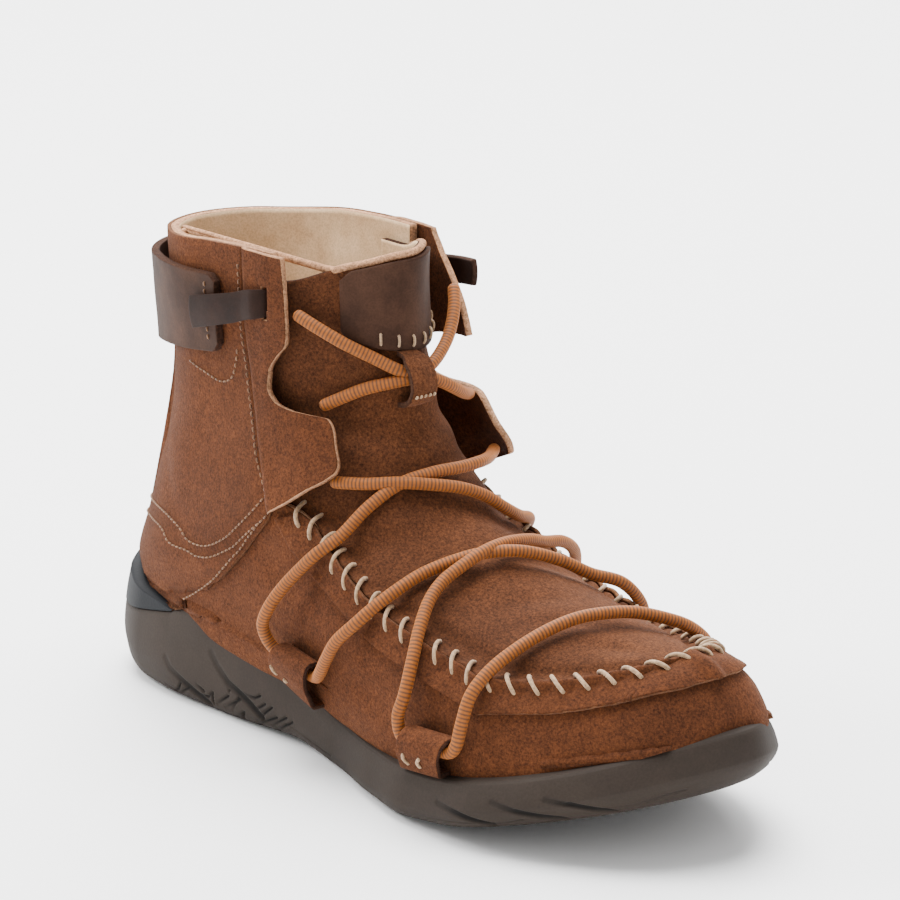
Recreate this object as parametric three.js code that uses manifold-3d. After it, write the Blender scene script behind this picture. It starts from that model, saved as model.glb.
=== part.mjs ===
// A moccasin boot for the right foot, empty and standing on its sole: a suede upper with a stitched-in
// apron, on a moulded rubber cup sole, closed by an elastic lace that runs through suede loops.
// Millimetres. The toe points along +X, the inner (medial) side is +Y, +Z is up, and the origin is
// on the floor under the middle of the heel.
import * as THREE from "three";
import { mergeVertices } from "three/addons/utils/BufferGeometryUtils.js";
import Module from "manifold-3d";

const wasm = await Module();
wasm.setup();

// Driving sizes
const SOLE_LENGTH = 290; // heel to toe
const SOLE_WIDTH = 107; // across the ball
const COLLAR_HEIGHT = 165; // floor to the collar
const HEEL_BACK = 40; // origin to the back of the sole
const TOE_SPRING = 25; // floor to the tread under the tip of the toe
const HEEL_BEVEL = 7; // floor to the tread at the back of the heel
const WAIST_LIFT = 1.6; // floor to the tread under the arch
const FOOTBED = 18; // tread to the foot's seat at the heel
const RIM = 36; // tread to the highest point of the sole's side
const CLIP = 32; // tread to the top of the heel clip, at the back
const LEDGE = 6; // widest line of the sole to the foot of the upper
const RIM_INSET = 3; // widest line of the sole to its rim
const TREAD_INSET = 8; // widest line of the sole to the edge of the tread
const LUG_DEPTH = 2.4;
const LUG_GROOVE = 4;
const WALL = 2.8; // suede and lining
const OVERLAY = 1.3; // one more layer of suede
const APRON = 2.4; // the apron and tongue are one padded piece
const FACING = 2.2; // facing, with the backing of its tabs
const LATERAL_LIFT = 4.5; // how far the lateral facing's front edge stands off
const MEDIAL_LIFT = 11; // the same on the medial side, where it flares
const GAP = 0.3; // between neighbouring pieces
const INSOLE = 3.5;
const LACE = 4.4;
const BAND_THICK = 2.8;
const BAND_SLACK = 5.6; // band to shaft at the back of the ankle
const STRAP_WIDTH = 9.5;
const STRAP_THICK = 2.6;
const LOOP_SUEDE = 1.6;
const LABEL_THICK = 1.4;
const KEEPER_WIDTH = 10;
const KEEPER_SUEDE = 1.6;

// Rows of numbers with named columns.
function table(names, rows) {
  const keys = names.split(" ");
  return rows.map((row) => Object.fromEntries(keys.map((key, i) => [key, row[i]])));
}

// A smooth line through a table's column that never overshoots its rows.
function through(rows, key, column) {
  const xs = rows.map((row) => row[key]);
  const ys = rows.map((row) => row[column]);
  const steps = xs.slice(1).map((x, i) => (ys[i + 1] - ys[i]) / (x - xs[i]));
  const slopes = xs.map((x, i) => {
    if (i === 0) return steps[0];
    if (i === steps.length) return steps[i - 1];
    const [before, after] = [steps[i - 1], steps[i]];
    return before * after <= 0 ? 0 : (2 * before * after) / (before + after);
  });
  return (x) => {
    const inside = Math.min(Math.max(x, xs[0]), xs[xs.length - 1]);
    let i = 0;
    while (i < xs.length - 2 && inside > xs[i + 1]) i += 1;
    const width = xs[i + 1] - xs[i];
    const u = (inside - xs[i]) / width;
    const ease = u * u * (3 - 2 * u);
    const leave = slopes[i] * u * (1 - u) ** 2;
    const arrive = slopes[i + 1] * u * u * (u - 1);
    return ys[i] * (1 - ease) + ys[i + 1] * ease + width * (leave + arrive);
  };
}

const clamp = THREE.MathUtils.clamp;
const lerp = THREE.MathUtils.lerp;

// Plan outline of the sole at its widest: at is the share of the length from the heel, and the two
// sides are shares of the width, measured from the line through the middle of the heel.
const OUTLINE = table("at lateral medial", [
  [0.0, 0.0, 0.0],
  [0.02, 0.165, 0.15],
  [0.06, 0.28, 0.255],
  [0.12, 0.35, 0.32],
  [0.2, 0.368, 0.335],
  [0.3, 0.364, 0.322],
  [0.4, 0.356, 0.305],
  [0.5, 0.39, 0.33],
  [0.6, 0.466, 0.402],
  [0.68, 0.514, 0.458],
  [0.76, 0.518, 0.477],
  [0.84, 0.463, 0.458],
  [0.9, 0.37, 0.408],
  [0.95, 0.25, 0.32],
  [0.985, 0.095, 0.2],
  [1.0, -0.08, 0.08],
]);
const turned = OUTLINE.map((row) => ({ ...row, turn: Math.acos(1 - 2 * row.at) }));
const lateralShare = through(turned, "turn", "lateral");
const medialShare = through(turned, "turn", "medial");

// A point of the outline drawn in by inset, on the lateral (-1) or medial (1) side.
function outlineAt(at, side, inset) {
  const turn = Math.acos(1 - 2 * clamp(at, 0, 1));
  const [lateral, medial] = [lateralShare(turn) * SOLE_WIDTH, medialShare(turn) * SOLE_WIDTH];
  const half = ((lateral + medial) / 2) * (1 - (2 * inset) / SOLE_WIDTH);
  const x = -HEEL_BACK + inset + at * (SOLE_LENGTH - 2 * inset);
  return { x, y: (medial - lateral) / 2 + side * half, half, middle: (medial - lateral) / 2 };
}
const shareAt = (x, inset = 0) => (x + HEEL_BACK - inset) / (SOLE_LENGTH - 2 * inset);
const plan = (x, inset = 0) => outlineAt(shareAt(x, inset), 1, inset);

// Height of the tread over the floor: flat under heel and ball, lifted at the waist and both ends.
const TREAD = table("at bevel waist spring", [
  [0.0, 1, 0, 0],
  [0.05, 0.28, 0, 0],
  [0.1, 0, 0, 0],
  [0.27, 0, 0, 0],
  [0.4, 0, 1, 0],
  [0.53, 0, 0, 0],
  [0.64, 0, 0, 0],
  [0.72, 0, 0, 0.1],
  [0.8, 0, 0, 0.285],
  [0.88, 0, 0, 0.53],
  [0.94, 0, 0, 0.75],
  [1.0, 0, 0, 1],
]);
const [bevelShare, waistShare, springShare] = ["bevel", "waist", "spring"].map((column) =>
  through(TREAD, "at", column),
);
function tread(x) {
  const at = shareAt(x);
  return HEEL_BEVEL * bevelShare(at) + WAIST_LIFT * waistShare(at) + TOE_SPRING * springShare(at);
}

// Foot's seat over the tread, as a share of its height at the heel.
const SEAT = table("at seat", [
  [0.0, 1.0],
  [0.2, 1.0],
  [0.45, 0.72],
  [0.62, 0.56],
  [0.8, 0.52],
  [1.0, 0.56],
]);
const seatShare = through(SEAT, "at", "seat");
const seat = (x) => tread(x) + FOOTBED * seatShare(shareAt(x));

// A table of places seen from the side, at in shares of the length from the origin and up in shares
// of the collar's height over the tread, turned into points in millimetres.
const across = (at) => at * SOLE_LENGTH;
const upwards = (x, up) => tread(x) + up * COLLAR_HEIGHT;
const seenAt = ({ at, up }) => [across(at), upwards(across(at), up)];

// The form that the upper is pulled over, as sections that fan from the collar round the heel to the
// toe. Each runs from a point on the front line (frontAt, frontUp) to one on the back line (backAt,
// backUp), and past the heel that one lies on the foot's seat. w1 to w4 are the half widths on the
// way down, as shares of the sole's width, and close is 1 where a section is round at its back end
// and 0.5 where it is open onto the seat.
const FORM = table("frontAt frontUp backAt backUp close w1 w2 w3 w4", [
  [0.366, 1.096, -0.034, 1.085, 1, 0.15, 0.285, 0.29, 0.196],
  [0.357, 0.998, -0.043, 0.976, 1, 0.15, 0.29, 0.294, 0.196],
  [0.355, 0.907, -0.045, 0.848, 1, 0.154, 0.29, 0.285, 0.182],
  [0.355, 0.822, -0.041, 0.715, 1, 0.159, 0.285, 0.271, 0.173],
  [0.36, 0.744, -0.048, 0.593, 1, 0.178, 0.294, 0.276, 0.173],
  [0.369, 0.678, -0.072, 0.454, 1, 0.206, 0.318, 0.29, 0.178],
  [0.381, 0.624, -0.102, 0.309, 1, 0.234, 0.346, 0.308, 0.182],
  [0.395, 0.582, -0.119, 0.202, 1, 0.262, 0.364, 0.327, 0.201],
  [0.409, 0.555, -0.119, 0.135, 0.88, 0.248, 0.36, 0.346, 0.262],
  [0.422, 0.532, -0.1, 0, 0.72, 0.229, 0.355, 0.364, 0.311],
  [0.443, 0.505, -0.048, 0, 0.58, 0.192, 0.35, 0.369, 0.338],
  [0.469, 0.482, 0.041, 0, 0.5, 0.173, 0.35, 0.379, 0.357],
  [0.503, 0.458, 0.172, 0, 0.5, 0.159, 0.346, 0.397, 0.372],
  [0.545, 0.431, 0.328, 0, 0.5, 0.154, 0.327, 0.411, 0.393],
  [0.593, 0.397, 0.483, 0, 0.5, 0.145, 0.308, 0.407, 0.425],
  [0.652, 0.355, 0.6, 0, 0.5, 0.14, 0.29, 0.393, 0.425],
  [0.71, 0.314, 0.7, 0, 0.5, 0.126, 0.257, 0.341, 0.379],
  [0.762, 0.279, 0.766, 0, 0.5, 0.112, 0.22, 0.285, 0.313],
  [0.8, 0.248, 0.809, 0, 0.5, 0.093, 0.168, 0.22, 0.248],
  [0.822, 0.201, 0.833, 0, 0.5, 0.061, 0.112, 0.154, 0.178],
  [0.836, 0.144, 0.843, 0, 0.5, 0.033, 0.065, 0.089, 0.103],
  [0.843, 0.088, 0.845, 0, 0.5, 0.006, 0.01, 0.012, 0.014],
]).map((row, index) => ({ ...row, index }));
const formColumns = Object.fromEntries(
  Object.keys(FORM[0])
    .filter((column) => column !== "index")
    .map((column) => [column, through(FORM, "index", column)]),
);
const OPEN_ROW = 9; // the first row whose back end lies on the foot's seat
const LAST_ROW = FORM.length - 1;

// A row of the form, also between those of the table.
function formRow(index) {
  const row = Object.fromEntries(
    Object.entries(formColumns).map(([column, value]) => [column, value(index)]),
  );
  const [frontX, backX] = [across(row.frontAt), across(row.backAt)];
  const heelZ = upwards(backX, FORM[OPEN_ROW - 1].backUp);
  const seated = clamp(index - (OPEN_ROW - 1), 0, 1);
  const backZ = seated > 0 ? lerp(heelZ, seat(backX), seated) : upwards(backX, row.backUp);
  const levels = [0, row.w1, row.w2, row.w3, row.w4].map((share) => share * SOLE_WIDTH);
  const foot = seated * plan(backX, LEDGE).half;
  const widths = [...levels, foot].map((width, i) => ({ at: i / 5, width }));
  return {
    front: [frontX, upwards(frontX, row.frontUp)],
    back: [backX, backZ],
    close: row.close,
    width: through(widths, "at", "width"),
  };
}

// A point of the form. way runs from 0 on the front line to 1 at the back end of the section on the
// lateral side, and to -1 on the medial side.
function onForm(row, way) {
  const along = (share) => 1 - Math.cos(Math.PI * share * row.close);
  const down = along(Math.abs(way)) / along(1);
  const x = lerp(row.front[0], row.back[0], down);
  const z = lerp(row.front[1], row.back[1], down);
  const side = way < 0 ? 1 : -1;
  return new THREE.Vector3(x, plan(x, LEDGE).middle + side * row.width(Math.abs(way)), z);
}

// Solids

function toSolid(geometry) {
  const bare = new THREE.BufferGeometry();
  bare.setAttribute("position", geometry.getAttribute("position"));
  if (geometry.index) bare.setIndex(geometry.index);
  const merged = mergeVertices(bare, 1e-4);
  const corners = [];
  for (let i = 0; i < merged.index.count; i += 3) {
    const [a, b, c] = [0, 1, 2].map((k) => merged.index.getX(i + k));
    if (a !== b && b !== c && c !== a) corners.push(a, b, c);
  }
  return new wasm.Manifold(
    new wasm.Mesh({
      numProp: 3,
      vertProperties: new Float32Array(merged.getAttribute("position").array),
      triVerts: new Uint32Array(corners),
    }),
  );
}

// A closed body through rings of the same number of points, each end closed by a ladder between the
// ring's two sides. The rings turn to the right as seen along the way from the first to the last.
function loft(rings) {
  const count = rings[0].length;
  const last = (rings.length - 1) * count;
  const corners = [];
  rings.slice(1).forEach((_, i) => {
    for (let j = 0; j < count; j += 1) {
      const [a, b] = [i * count + j, i * count + ((j + 1) % count)];
      corners.push(a, b, a + count, b, b + count, a + count);
    }
  });
  for (let j = 0; j < count / 2 - 1; j += 1) {
    const far = count - 1 - j;
    corners.push(j + 1, j, far, last + j, last + j + 1, last + far);
    if (j + 1 < far - 1) corners.push(j + 1, far, far - 1, last + j + 1, last + far - 1, last + far);
  }
  const geometry = new THREE.BufferGeometry().setFromPoints(rings.flat());
  geometry.setIndex(corners);
  return toSolid(geometry);
}

// Blocks with an outline seen from the side, from above or from the front, right through the boot.
const REACH = 400;
function block(outline, right, up, depth) {
  const shape = new THREE.Shape(outline.map(([a, b]) => new THREE.Vector2(a, b)));
  const geometry = new THREE.ExtrudeGeometry(shape, { depth: 2 * REACH, bevelEnabled: false });
  geometry.translate(0, 0, -REACH);
  geometry.applyMatrix4(new THREE.Matrix4().makeBasis(right, up, depth));
  return toSolid(geometry);
}
const [X, Y, Z] = [new THREE.Vector3(1, 0, 0), new THREE.Vector3(0, 1, 0), new THREE.Vector3(0, 0, 1)];
const fromSide = (outline) => block(outline, X, Z, Y.clone().negate());
const fromAbove = (outline) => block(outline, X, Y, Z);
const fromFront = (outline) => block(outline, Y, Z, X);
const lateralHalf = fromFront([[-REACH, -REACH], [0, -REACH], [0, REACH], [-REACH, REACH]]);
const medialHalf = fromFront([[0, -REACH], [REACH, -REACH], [REACH, REACH], [0, REACH]]);

// A smooth line through points seen flat.
function smooth(points) {
  const line = new THREE.SplineCurve(points.map(([a, b]) => new THREE.Vector2(a, b)));
  return line.getPoints((points.length - 1) * 2).map((point) => [point.x, point.y]);
}

// Rows and ways at which the form is sampled, with more rows from the instep to the ball.
const WAYS = 8;
const halfSteps = Array.from({ length: 2 * LAST_ROW + 1 }, (_, i) => i / 2);
const rowSteps = halfSteps.filter((row) => Number.isInteger(row) || (row > 11 && row < 16));
const wayShares = Array.from({ length: 2 * WAYS + 1 }, (_, j) => j / WAYS - 1);
const formGrid = rowSteps.map((index) => wayShares.map((way) => onForm(formRow(index), way)));

// Outward direction at a point of the sampled form.
function outward(i, j) {
  const ring = formGrid[i];
  const last = ring.length - 1;
  const round = ring[0].distanceTo(ring[last]) < 1e-3;
  const before = j > 0 ? ring[j - 1] : round ? ring[last - 1] : ring[0];
  const after = j < last ? ring[j + 1] : round ? ring[1] : ring[last];
  const upper = formGrid[Math.max(i - 1, 0)][j];
  const lower = formGrid[Math.min(i + 1, formGrid.length - 1)][j];
  const around = after.clone().sub(before);
  return around.cross(lower.clone().sub(upper)).normalize();
}

// The form grown by offset, a size or a function of the place, with its foot lowered by drop.
function form(offset, drop = 0) {
  const depthAt = typeof offset === "function" ? offset : () => offset;
  const rings = formGrid.map((ring, i) =>
    ring.map((point, j) => {
      const moved = point.clone().addScaledVector(outward(i, j), depthAt(point));
      const foot = rowSteps[i] >= OPEN_ROW && (j === 0 || j === ring.length - 1);
      if (foot) moved.z = point.z - drop;
      return moved;
    }),
  );
  return loft(rings);
}
const shell = (outside, inside) => form(outside).subtract(form(inside));

// Sole

// Rim of the sole's side and top of the heel clip over the tread, as shares of RIM and CLIP.
const SIDE = table("at rim clip", [
  [0.0, 0.45, 1.0],
  [0.055, 0.62, 1.06],
  [0.138, 0.77, 1.02],
  [0.18, 0.85, 0.975],
  [0.215, 0.92, 0.91],
  [0.252, 1.0, 0.82],
  [0.312, 0.955, 0.8],
  [0.397, 0.815, 0.7],
  [0.45, 0.62, 0.6],
  [0.5, 0.505, 0.5],
  [0.57, 0.475, 0.45],
  [0.66, 0.485, 0.45],
  [0.725, 0.455, 0.42],
  [0.81, 0.45, 0.42],
  [0.87, 0.455, 0.42],
  [0.94, 0.485, 0.42],
  [0.975, 0.5, 0.42],
  [1.0, 0.49, 0.42],
]);
const rimShare = through(SIDE, "at", "rim");
const clipShare = through(SIDE, "at", "clip");
const rim = (x) => tread(x) + RIM * rimShare(shareAt(x));
const clipTop = (x) => tread(x) + CLIP * clipShare(shareAt(x));
const soleTop = (x) => Math.max(rim(x), clipTop(x));

// Section of the sole's side, from the edge of the tread to the rim: inset from the widest line, and
// up as a share of the side's height.
const SOLE_SIDE = table("inset up", [
  [TREAD_INSET, 0],
  [TREAD_INSET * 0.42, 0.075],
  [TREAD_INSET * 0.12, 0.2],
  [0, 0.38],
  [RIM_INSET * 0.4, 0.72],
  [RIM_INSET, 1],
]);
const SIDE_STEPS = 22;
const sideShares = Array.from(
  { length: SIDE_STEPS + 1 },
  (_, k) => (1 - Math.cos((Math.PI * k) / SIDE_STEPS)) / 2,
);

function soleRing({ inset, up }) {
  const places = [
    ...sideShares.map((at) => outlineAt(at, -1, inset)),
    ...sideShares.map((at) => outlineAt(at, 1, inset)).reverse(),
  ];
  return places.map(({ x, y }) => new THREE.Vector3(x, y, lerp(tread(x), soleTop(x), up)));
}

// Grooves across the tread, at shares of the length, that leave the lugs standing between them.
const GROOVES = [0.055, 0.11, 0.165, 0.22, 0.53, 0.585, 0.64, 0.695, 0.75, 0.805];
function groove(at) {
  const x = at * SOLE_LENGTH - HEEL_BACK;
  const ceiling = tread(x) + LUG_DEPTH;
  const [back, front] = [x - LUG_GROOVE / 2, x + LUG_GROOVE / 2];
  return fromSide([[back, -REACH], [front, -REACH], [front, ceiling], [back, ceiling]]);
}

// Everything above the rim at the back of the heel, up to where the clip runs out.
const CLIP_END = 0.205;
const clipRows = SIDE.filter(({ at }) => at <= CLIP_END).map(({ at }) => at);
function aboveRim(lift, end) {
  const edge = [...clipRows, end].map((at) => {
    const x = at * SOLE_LENGTH - HEEL_BACK;
    return [x, rim(x) + lift];
  });
  const front = edge[edge.length - 1][0];
  return fromSide([[-REACH, edge[0][1]], ...edge, [front, REACH], [-REACH, REACH]]);
}

const soleBody = GROOVES.reduce(
  (body, at) => body.subtract(groove(at)),
  loft(SOLE_SIDE.map(soleRing)).subtract(form(GAP, GAP)),
);
const outsole = soleBody.subtract(aboveRim(0, CLIP_END));
const heelClip = soleBody.intersect(aboveRim(GAP, CLIP_END - GAP / SOLE_LENGTH));

// Insole, a thin layer on the foot's seat.
const insoleToe = SOLE_LENGTH - HEEL_BACK - LEDGE - 2 * WALL;
const insoleXs = Array.from({ length: 21 }, (_, i) => lerp(-HEEL_BACK, insoleToe, i / 20));
const insoleBlock = fromSide([
  ...insoleXs.map((x) => [x, seat(x)]),
  ...insoleXs.map((x) => [x, seat(x) + INSOLE]).reverse(),
]);
const insole = form(-WALL - GAP, INSOLE).intersect(insoleBlock);

// Lines on the upper, seen from the side. seam runs along the apron, strip is the lower edge of the
// strip under it, rear is the facing's back seam and wave the quarter's front edge below it.
const side = (rows) => table("at up", rows).map(seenAt);
const THROAT = side([
  [0.229, 1.113],
  [0.229, 0.901],
  [0.228, 0.828],
  [0.214, 0.763],
  [0.219, 0.684],
  [0.241, 0.585],
  [0.259, 0.524],
]);
const SEAM = side([
  [0.272, 0.503],
  [0.319, 0.485],
  [0.362, 0.444],
  [0.412, 0.405],
  [0.462, 0.37],
  [0.514, 0.344],
  [0.559, 0.318],
  [0.603, 0.291],
  [0.655, 0.244],
  [0.71, 0.19],
  [0.8, 0.112],
]);
const STRIP_EDGE = side([
  [0.262, 0.475],
  [0.272, 0.462],
  [0.3, 0.423],
  [0.372, 0.372],
  [0.453, 0.321],
  [0.507, 0.297],
  [0.545, 0.275],
  [0.583, 0.254],
  [0.628, 0.225],
  [0.69, 0.175],
  [0.8, 0.106],
]);
const REAR_SEAM = side([
  [0.257, 0.484],
  [0.223, 0.594],
  [0.197, 0.716],
  [0.183, 0.845],
  [0.18, 1.118],
]);
const WAVE = side([
  [0.083, 0.217],
  [0.117, 0.252],
  [0.167, 0.31],
  [0.22, 0.401],
]);
const LATERAL_FRONT = side([
  [0.264, 0.486],
  [0.29, 0.513],
  [0.31, 0.539],
  [0.331, 0.562],
  [0.338, 0.578],
  [0.326, 0.628],
  [0.309, 0.679],
  [0.286, 0.682],
  [0.266, 0.683],
  [0.243, 0.697],
  [0.23, 0.725],
  [0.23, 0.755],
  [0.241, 0.791],
  [0.253, 0.818],
  [0.255, 0.839],
  [0.253, 0.9],
  [0.25, 0.96],
  [0.248, 1.112],
]);
const MEDIAL_FRONT = side([
  [0.264, 0.486],
  [0.297, 0.504],
  [0.328, 0.529],
  [0.348, 0.549],
  [0.353, 0.565],
  [0.341, 0.615],
  [0.321, 0.664],
  [0.297, 0.668],
  [0.269, 0.669],
  [0.243, 0.685],
  [0.23, 0.719],
  [0.233, 0.755],
  [0.259, 0.778],
  [0.293, 0.792],
  [0.317, 0.803],
  [0.307, 0.848],
  [0.284, 0.9],
  [0.26, 0.96],
  [0.248, 0.997],
  [0.241, 1.112],
]);
const TONGUE_EDGE = side([
  [0.186, 1.118],
  [0.186, 0.815],
  [0.176, 0.737],
  [0.193, 0.638],
  [0.217, 0.538],
  [0.241, 0.464],
  [0.29, 0.428],
  [0.362, 0.381],
  [0.462, 0.315],
  [0.559, 0.258],
  [0.71, 0.166],
  [0.8, 0.088],
]);

// The apron's and the strip's outlines seen from above: half widths at shares of the length, as
// shares of the sole's width. They only bind where the toe is round.
const APRON_TOE = table("at half", [
  [0, 0.561],
  [0.414, 0.542],
  [0.517, 0.421],
  [0.569, 0.374],
  [0.607, 0.353],
  [0.634, 0.338],
  [0.659, 0.32],
  [0.683, 0.295],
  [0.707, 0.264],
  [0.728, 0.23],
  [0.747, 0.189],
  [0.764, 0.138],
  [0.775, 0.08],
  [0.781, 0],
]);
const STRIP_TOE = table("at half", [
  [0, 0.654],
  [0.414, 0.617],
  [0.517, 0.505],
  [0.569, 0.444],
  [0.61, 0.411],
  [0.652, 0.385],
  [0.686, 0.355],
  [0.719, 0.321],
  [0.75, 0.28],
  [0.775, 0.234],
  [0.797, 0.173],
  [0.81, 0.107],
  [0.818, 0],
]);

// The block inside such an outline, drawn in by inset.
function toeBlock(rows, inset = 0) {
  const half = through(rows, "at", "half");
  const [first, last] = [rows[0].at, rows[rows.length - 1].at];
  const count = 14;
  const ats = Array.from({ length: count + 1 }, (_, k) => {
    const round = Math.sin((Math.PI * k) / (2 * count));
    return lerp(first, last, round);
  });
  const edge = ats.map((at) => {
    const x = at * SOLE_LENGTH - (at === last ? inset : 0);
    return [x, Math.max(half(at) * SOLE_WIDTH - inset, 0), plan(x, LEDGE).middle];
  });
  const medial = edge.map(([x, y, middle]) => [x, middle + y]);
  const lateral = edge.map(([x, y, middle]) => [x, middle - y]).reverse();
  return fromAbove([[-REACH, -REACH], ...lateral.slice(1).reverse(), ...medial.reverse(), [-REACH, REACH]]);
}

// Everything above a line seen from the side.
function above(line) {
  const [first, last] = [line[0], line[line.length - 1]];
  return fromSide([[first[0], REACH], ...line, [REACH, last[1]], [REACH, REACH]]);
}

// The opening of the upper: the throat and the apron's place, drawn in by inset.
function opening(inset = 0) {
  const throat = smooth(THROAT).map(([x, z]) => [x + inset, z]);
  const seam = smooth(SEAM).map(([x, z]) => [x, z + inset]);
  return above([...throat, ...seam]).intersect(toeBlock(APRON_TOE, inset));
}

// Everything below the collar, which dips a little to the back.
const COLLAR = table("at up", [
  [-0.15, 0.955],
  [0, 0.968],
  [0.12, 0.992],
  [0.2, 1],
  [0.5, 1.01],
  [1.0, 1.01],
]);
const collarLine = COLLAR.map(({ at, up }) => [across(at), up * COLLAR_HEIGHT]);
const belowCollar = fromSide([[-REACH, -REACH], [REACH, -REACH], ...smooth(collarLine).reverse()]);

// Quarter: one more layer of suede behind the facing's seam and above the wave.
const clipLine = Array.from({ length: 11 }, (_, i) => {
  const x = (i / 10) * CLIP_END * SOLE_LENGTH - HEEL_BACK;
  return [x, soleTop(x) + 3 * GAP];
});
const quarterBlock = fromSide([
  [-REACH, clipLine[0][1]],
  ...clipLine,
  ...smooth(WAVE),
  ...smooth(REAR_SEAM),
  [REAR_SEAM[REAR_SEAM.length - 1][0], REACH],
  [-REACH, REACH],
]);
const outer = form(0).add(form(OVERLAY).intersect(quarterBlock)).intersect(belowCollar);
const upper = outer.subtract(form(-WALL, INSOLE + GAP)).subtract(opening());

// Apron and tongue: level with the vamp inside the seam, and under the upper in the throat.
const LEVEL = table("at up", [
  [0.3, 0],
  [0.345, 0.25],
  [0.385, 0.85],
  [0.42, 1],
]);
const levelShare = through(LEVEL, "at", "up");
const level = (point) => lerp(-WALL - GAP, 0, levelShare(point.x / SOLE_LENGTH));
const tuckedIn = form(-WALL - GAP).add(opening(GAP));
const TONGUE_TOP = table("out up", [
  [-0.42, 0.9],
  [-0.3, 0.945],
  [-0.2, 0.985],
  [-0.08, 1.012],
  [0.06, 1.018],
  [0.18, 0.995],
  [0.28, 0.955],
  [0.42, 0.9],
]);
const tongueTop = TONGUE_TOP.map(({ out, up }) => [out * SOLE_WIDTH, up * COLLAR_HEIGHT]);
function tongueBlock(lower = 0) {
  const top = smooth(tongueTop).map(([y, z]) => [y, z - lower]);
  const [first, last] = [top[0], top[top.length - 1]];
  return fromFront([[first[0], -REACH], [last[0], -REACH], ...top.reverse()]);
}
const aproned = form(level).subtract(form((point) => level(point) - APRON));
const apronTongue = aproned
  .intersect(tongueBlock())
  .intersect(above(smooth(TONGUE_EDGE)))
  .intersect(toeBlock(APRON_TOE, GAP))
  .intersect(tuckedIn);

// Facings with their lace tabs, which stand off so that the lace runs under them.
const TAB = table("at up", [
  [0.215, 0],
  [0.24, 0.1],
  [0.262, 0.3],
  [0.283, 0.57],
  [0.305, 0.8],
  [0.33, 0.94],
  [0.365, 1],
]);
const tabShare = through(TAB, "at", "up");
const tabLift = (lift) => (point) => GAP + lift * tabShare(point.x / SOLE_LENGTH);
const SLIT = { at: 0.2265, up: 0.902, width: 3, height: STRAP_WIDTH + 1 };
function facingBlock(frontLine, grow = 0) {
  const rear = smooth(REAR_SEAM).map(([x, z]) => [x + GAP - grow, z]);
  const front = smooth(frontLine).map(([x, z]) => [x + grow, z - grow]);
  return fromSide([...rear, ...front.reverse()]);
}
function slitBlock() {
  const [x, z] = [SLIT.at * SOLE_LENGTH, SLIT.up * COLLAR_HEIGHT];
  const [dx, dz] = [SLIT.width / 2, SLIT.height / 2];
  return fromSide([[x - dx, z - dz], [x + dx, z - dz], [x + dx, z + dz], [x - dx, z + dz]]);
}
function facing(half, frontLine, lift) {
  const inside = tabLift(lift);
  return shell((point) => inside(point) + FACING, inside)
    .intersect(facingBlock(frontLine))
    .intersect(half)
    .intersect(belowCollar)
    .subtract(slitBlock());
}
const facingLateral = facing(lateralHalf, LATERAL_FRONT, LATERAL_LIFT);
const facingMedial = facing(medialHalf, MEDIAL_FRONT, MEDIAL_LIFT);

// Strip along the seam, under the whip stitches.
const seamStrip = shell(GAP + OVERLAY, GAP)
  .intersect(above(smooth(STRIP_EDGE)))
  .intersect(toeBlock(STRIP_TOE))
  .subtract(opening(-GAP))
  .subtract(facingBlock(LATERAL_FRONT, GAP * 3))
  .subtract(facingBlock(MEDIAL_FRONT, GAP * 3));

// A place on the boot: a row of the form, a way across it and a distance out.
const NEAR = 0.02;
function onBoot(row, way, out) {
  const point = onForm(formRow(row), way);
  const around = onForm(formRow(row), way + NEAR).sub(onForm(formRow(row), way - NEAR));
  const down = onForm(formRow(row + NEAR), way).sub(onForm(formRow(row - NEAR), way));
  return point.addScaledVector(around.cross(down).normalize(), out);
}

// A flat strip of leather round the shaft, through stations that say where it lies.
function leatherStrip(stations, thick) {
  const rings = stations.map(({ top, bottom, way, out }) => {
    const rows = [0, 0.5, 1].map((share) => lerp(top, bottom, share));
    const inner = rows.map((row) => onBoot(row, way, out));
    const outside = rows.map((row) => onBoot(row, way, out + thick));
    return [...inner, ...outside.reverse()];
  });
  return loft(rings);
}

// Ankle band, close to the shaft at its front ends and standing off at the back.
const BAND = { top: 1.5, bottom: 2.95, way: 0.522, out: OVERLAY + GAP, steps: 24 };
const bandStations = Array.from({ length: BAND.steps + 1 }, (_, k) => {
  const round = lerp(BAND.way, 2 - BAND.way, k / BAND.steps);
  const way = round > 1 ? round - 2 : round;
  const back = THREE.MathUtils.smoothstep(Math.abs(way), 0.6, 0.95);
  return { top: BAND.top, bottom: BAND.bottom, way, out: lerp(BAND.out, BAND_SLACK, back) };
});
const ankleBand = leatherStrip(bandStations, BAND_THICK);

// Strap tabs, from the band to the slit of the facing, and on the medial side past its front edge.
const bandOut = BAND.out + BAND_THICK + GAP;
const faceOut = 2 * GAP + FACING;
const STRAP = table("row way out", [
  [2.2, 0.58, bandOut],
  [2.14, 0.54, bandOut],
  [2.08, 0.5, bandOut - 0.4],
  [2.02, 0.463, lerp(bandOut, faceOut, 0.6)],
  [1.94, 0.43, faceOut],
]);
const LATERAL_END = table("row way out", [[1.865, 0.394, faceOut]]);
const MEDIAL_END = table("row way out", [
  [1.86, 0.39, faceOut + 0.06 * MEDIAL_LIFT],
  [1.82, 0.355, faceOut + 0.3 * MEDIAL_LIFT],
  [1.79, 0.315, faceOut + 0.7 * MEDIAL_LIFT],
  [1.77, 0.285, faceOut + 0.95 * MEDIAL_LIFT],
]);
const STRAP_ROWS = STRAP_WIDTH / 36;
function strapTab(turn, end) {
  const stations = [...STRAP, ...end].map(({ row, way, out }) => ({
    top: row - STRAP_ROWS,
    bottom: row + STRAP_ROWS,
    way: way * turn,
    out,
  }));
  return leatherStrip(turn > 0 ? stations.reverse() : stations, STRAP_THICK);
}

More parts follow.
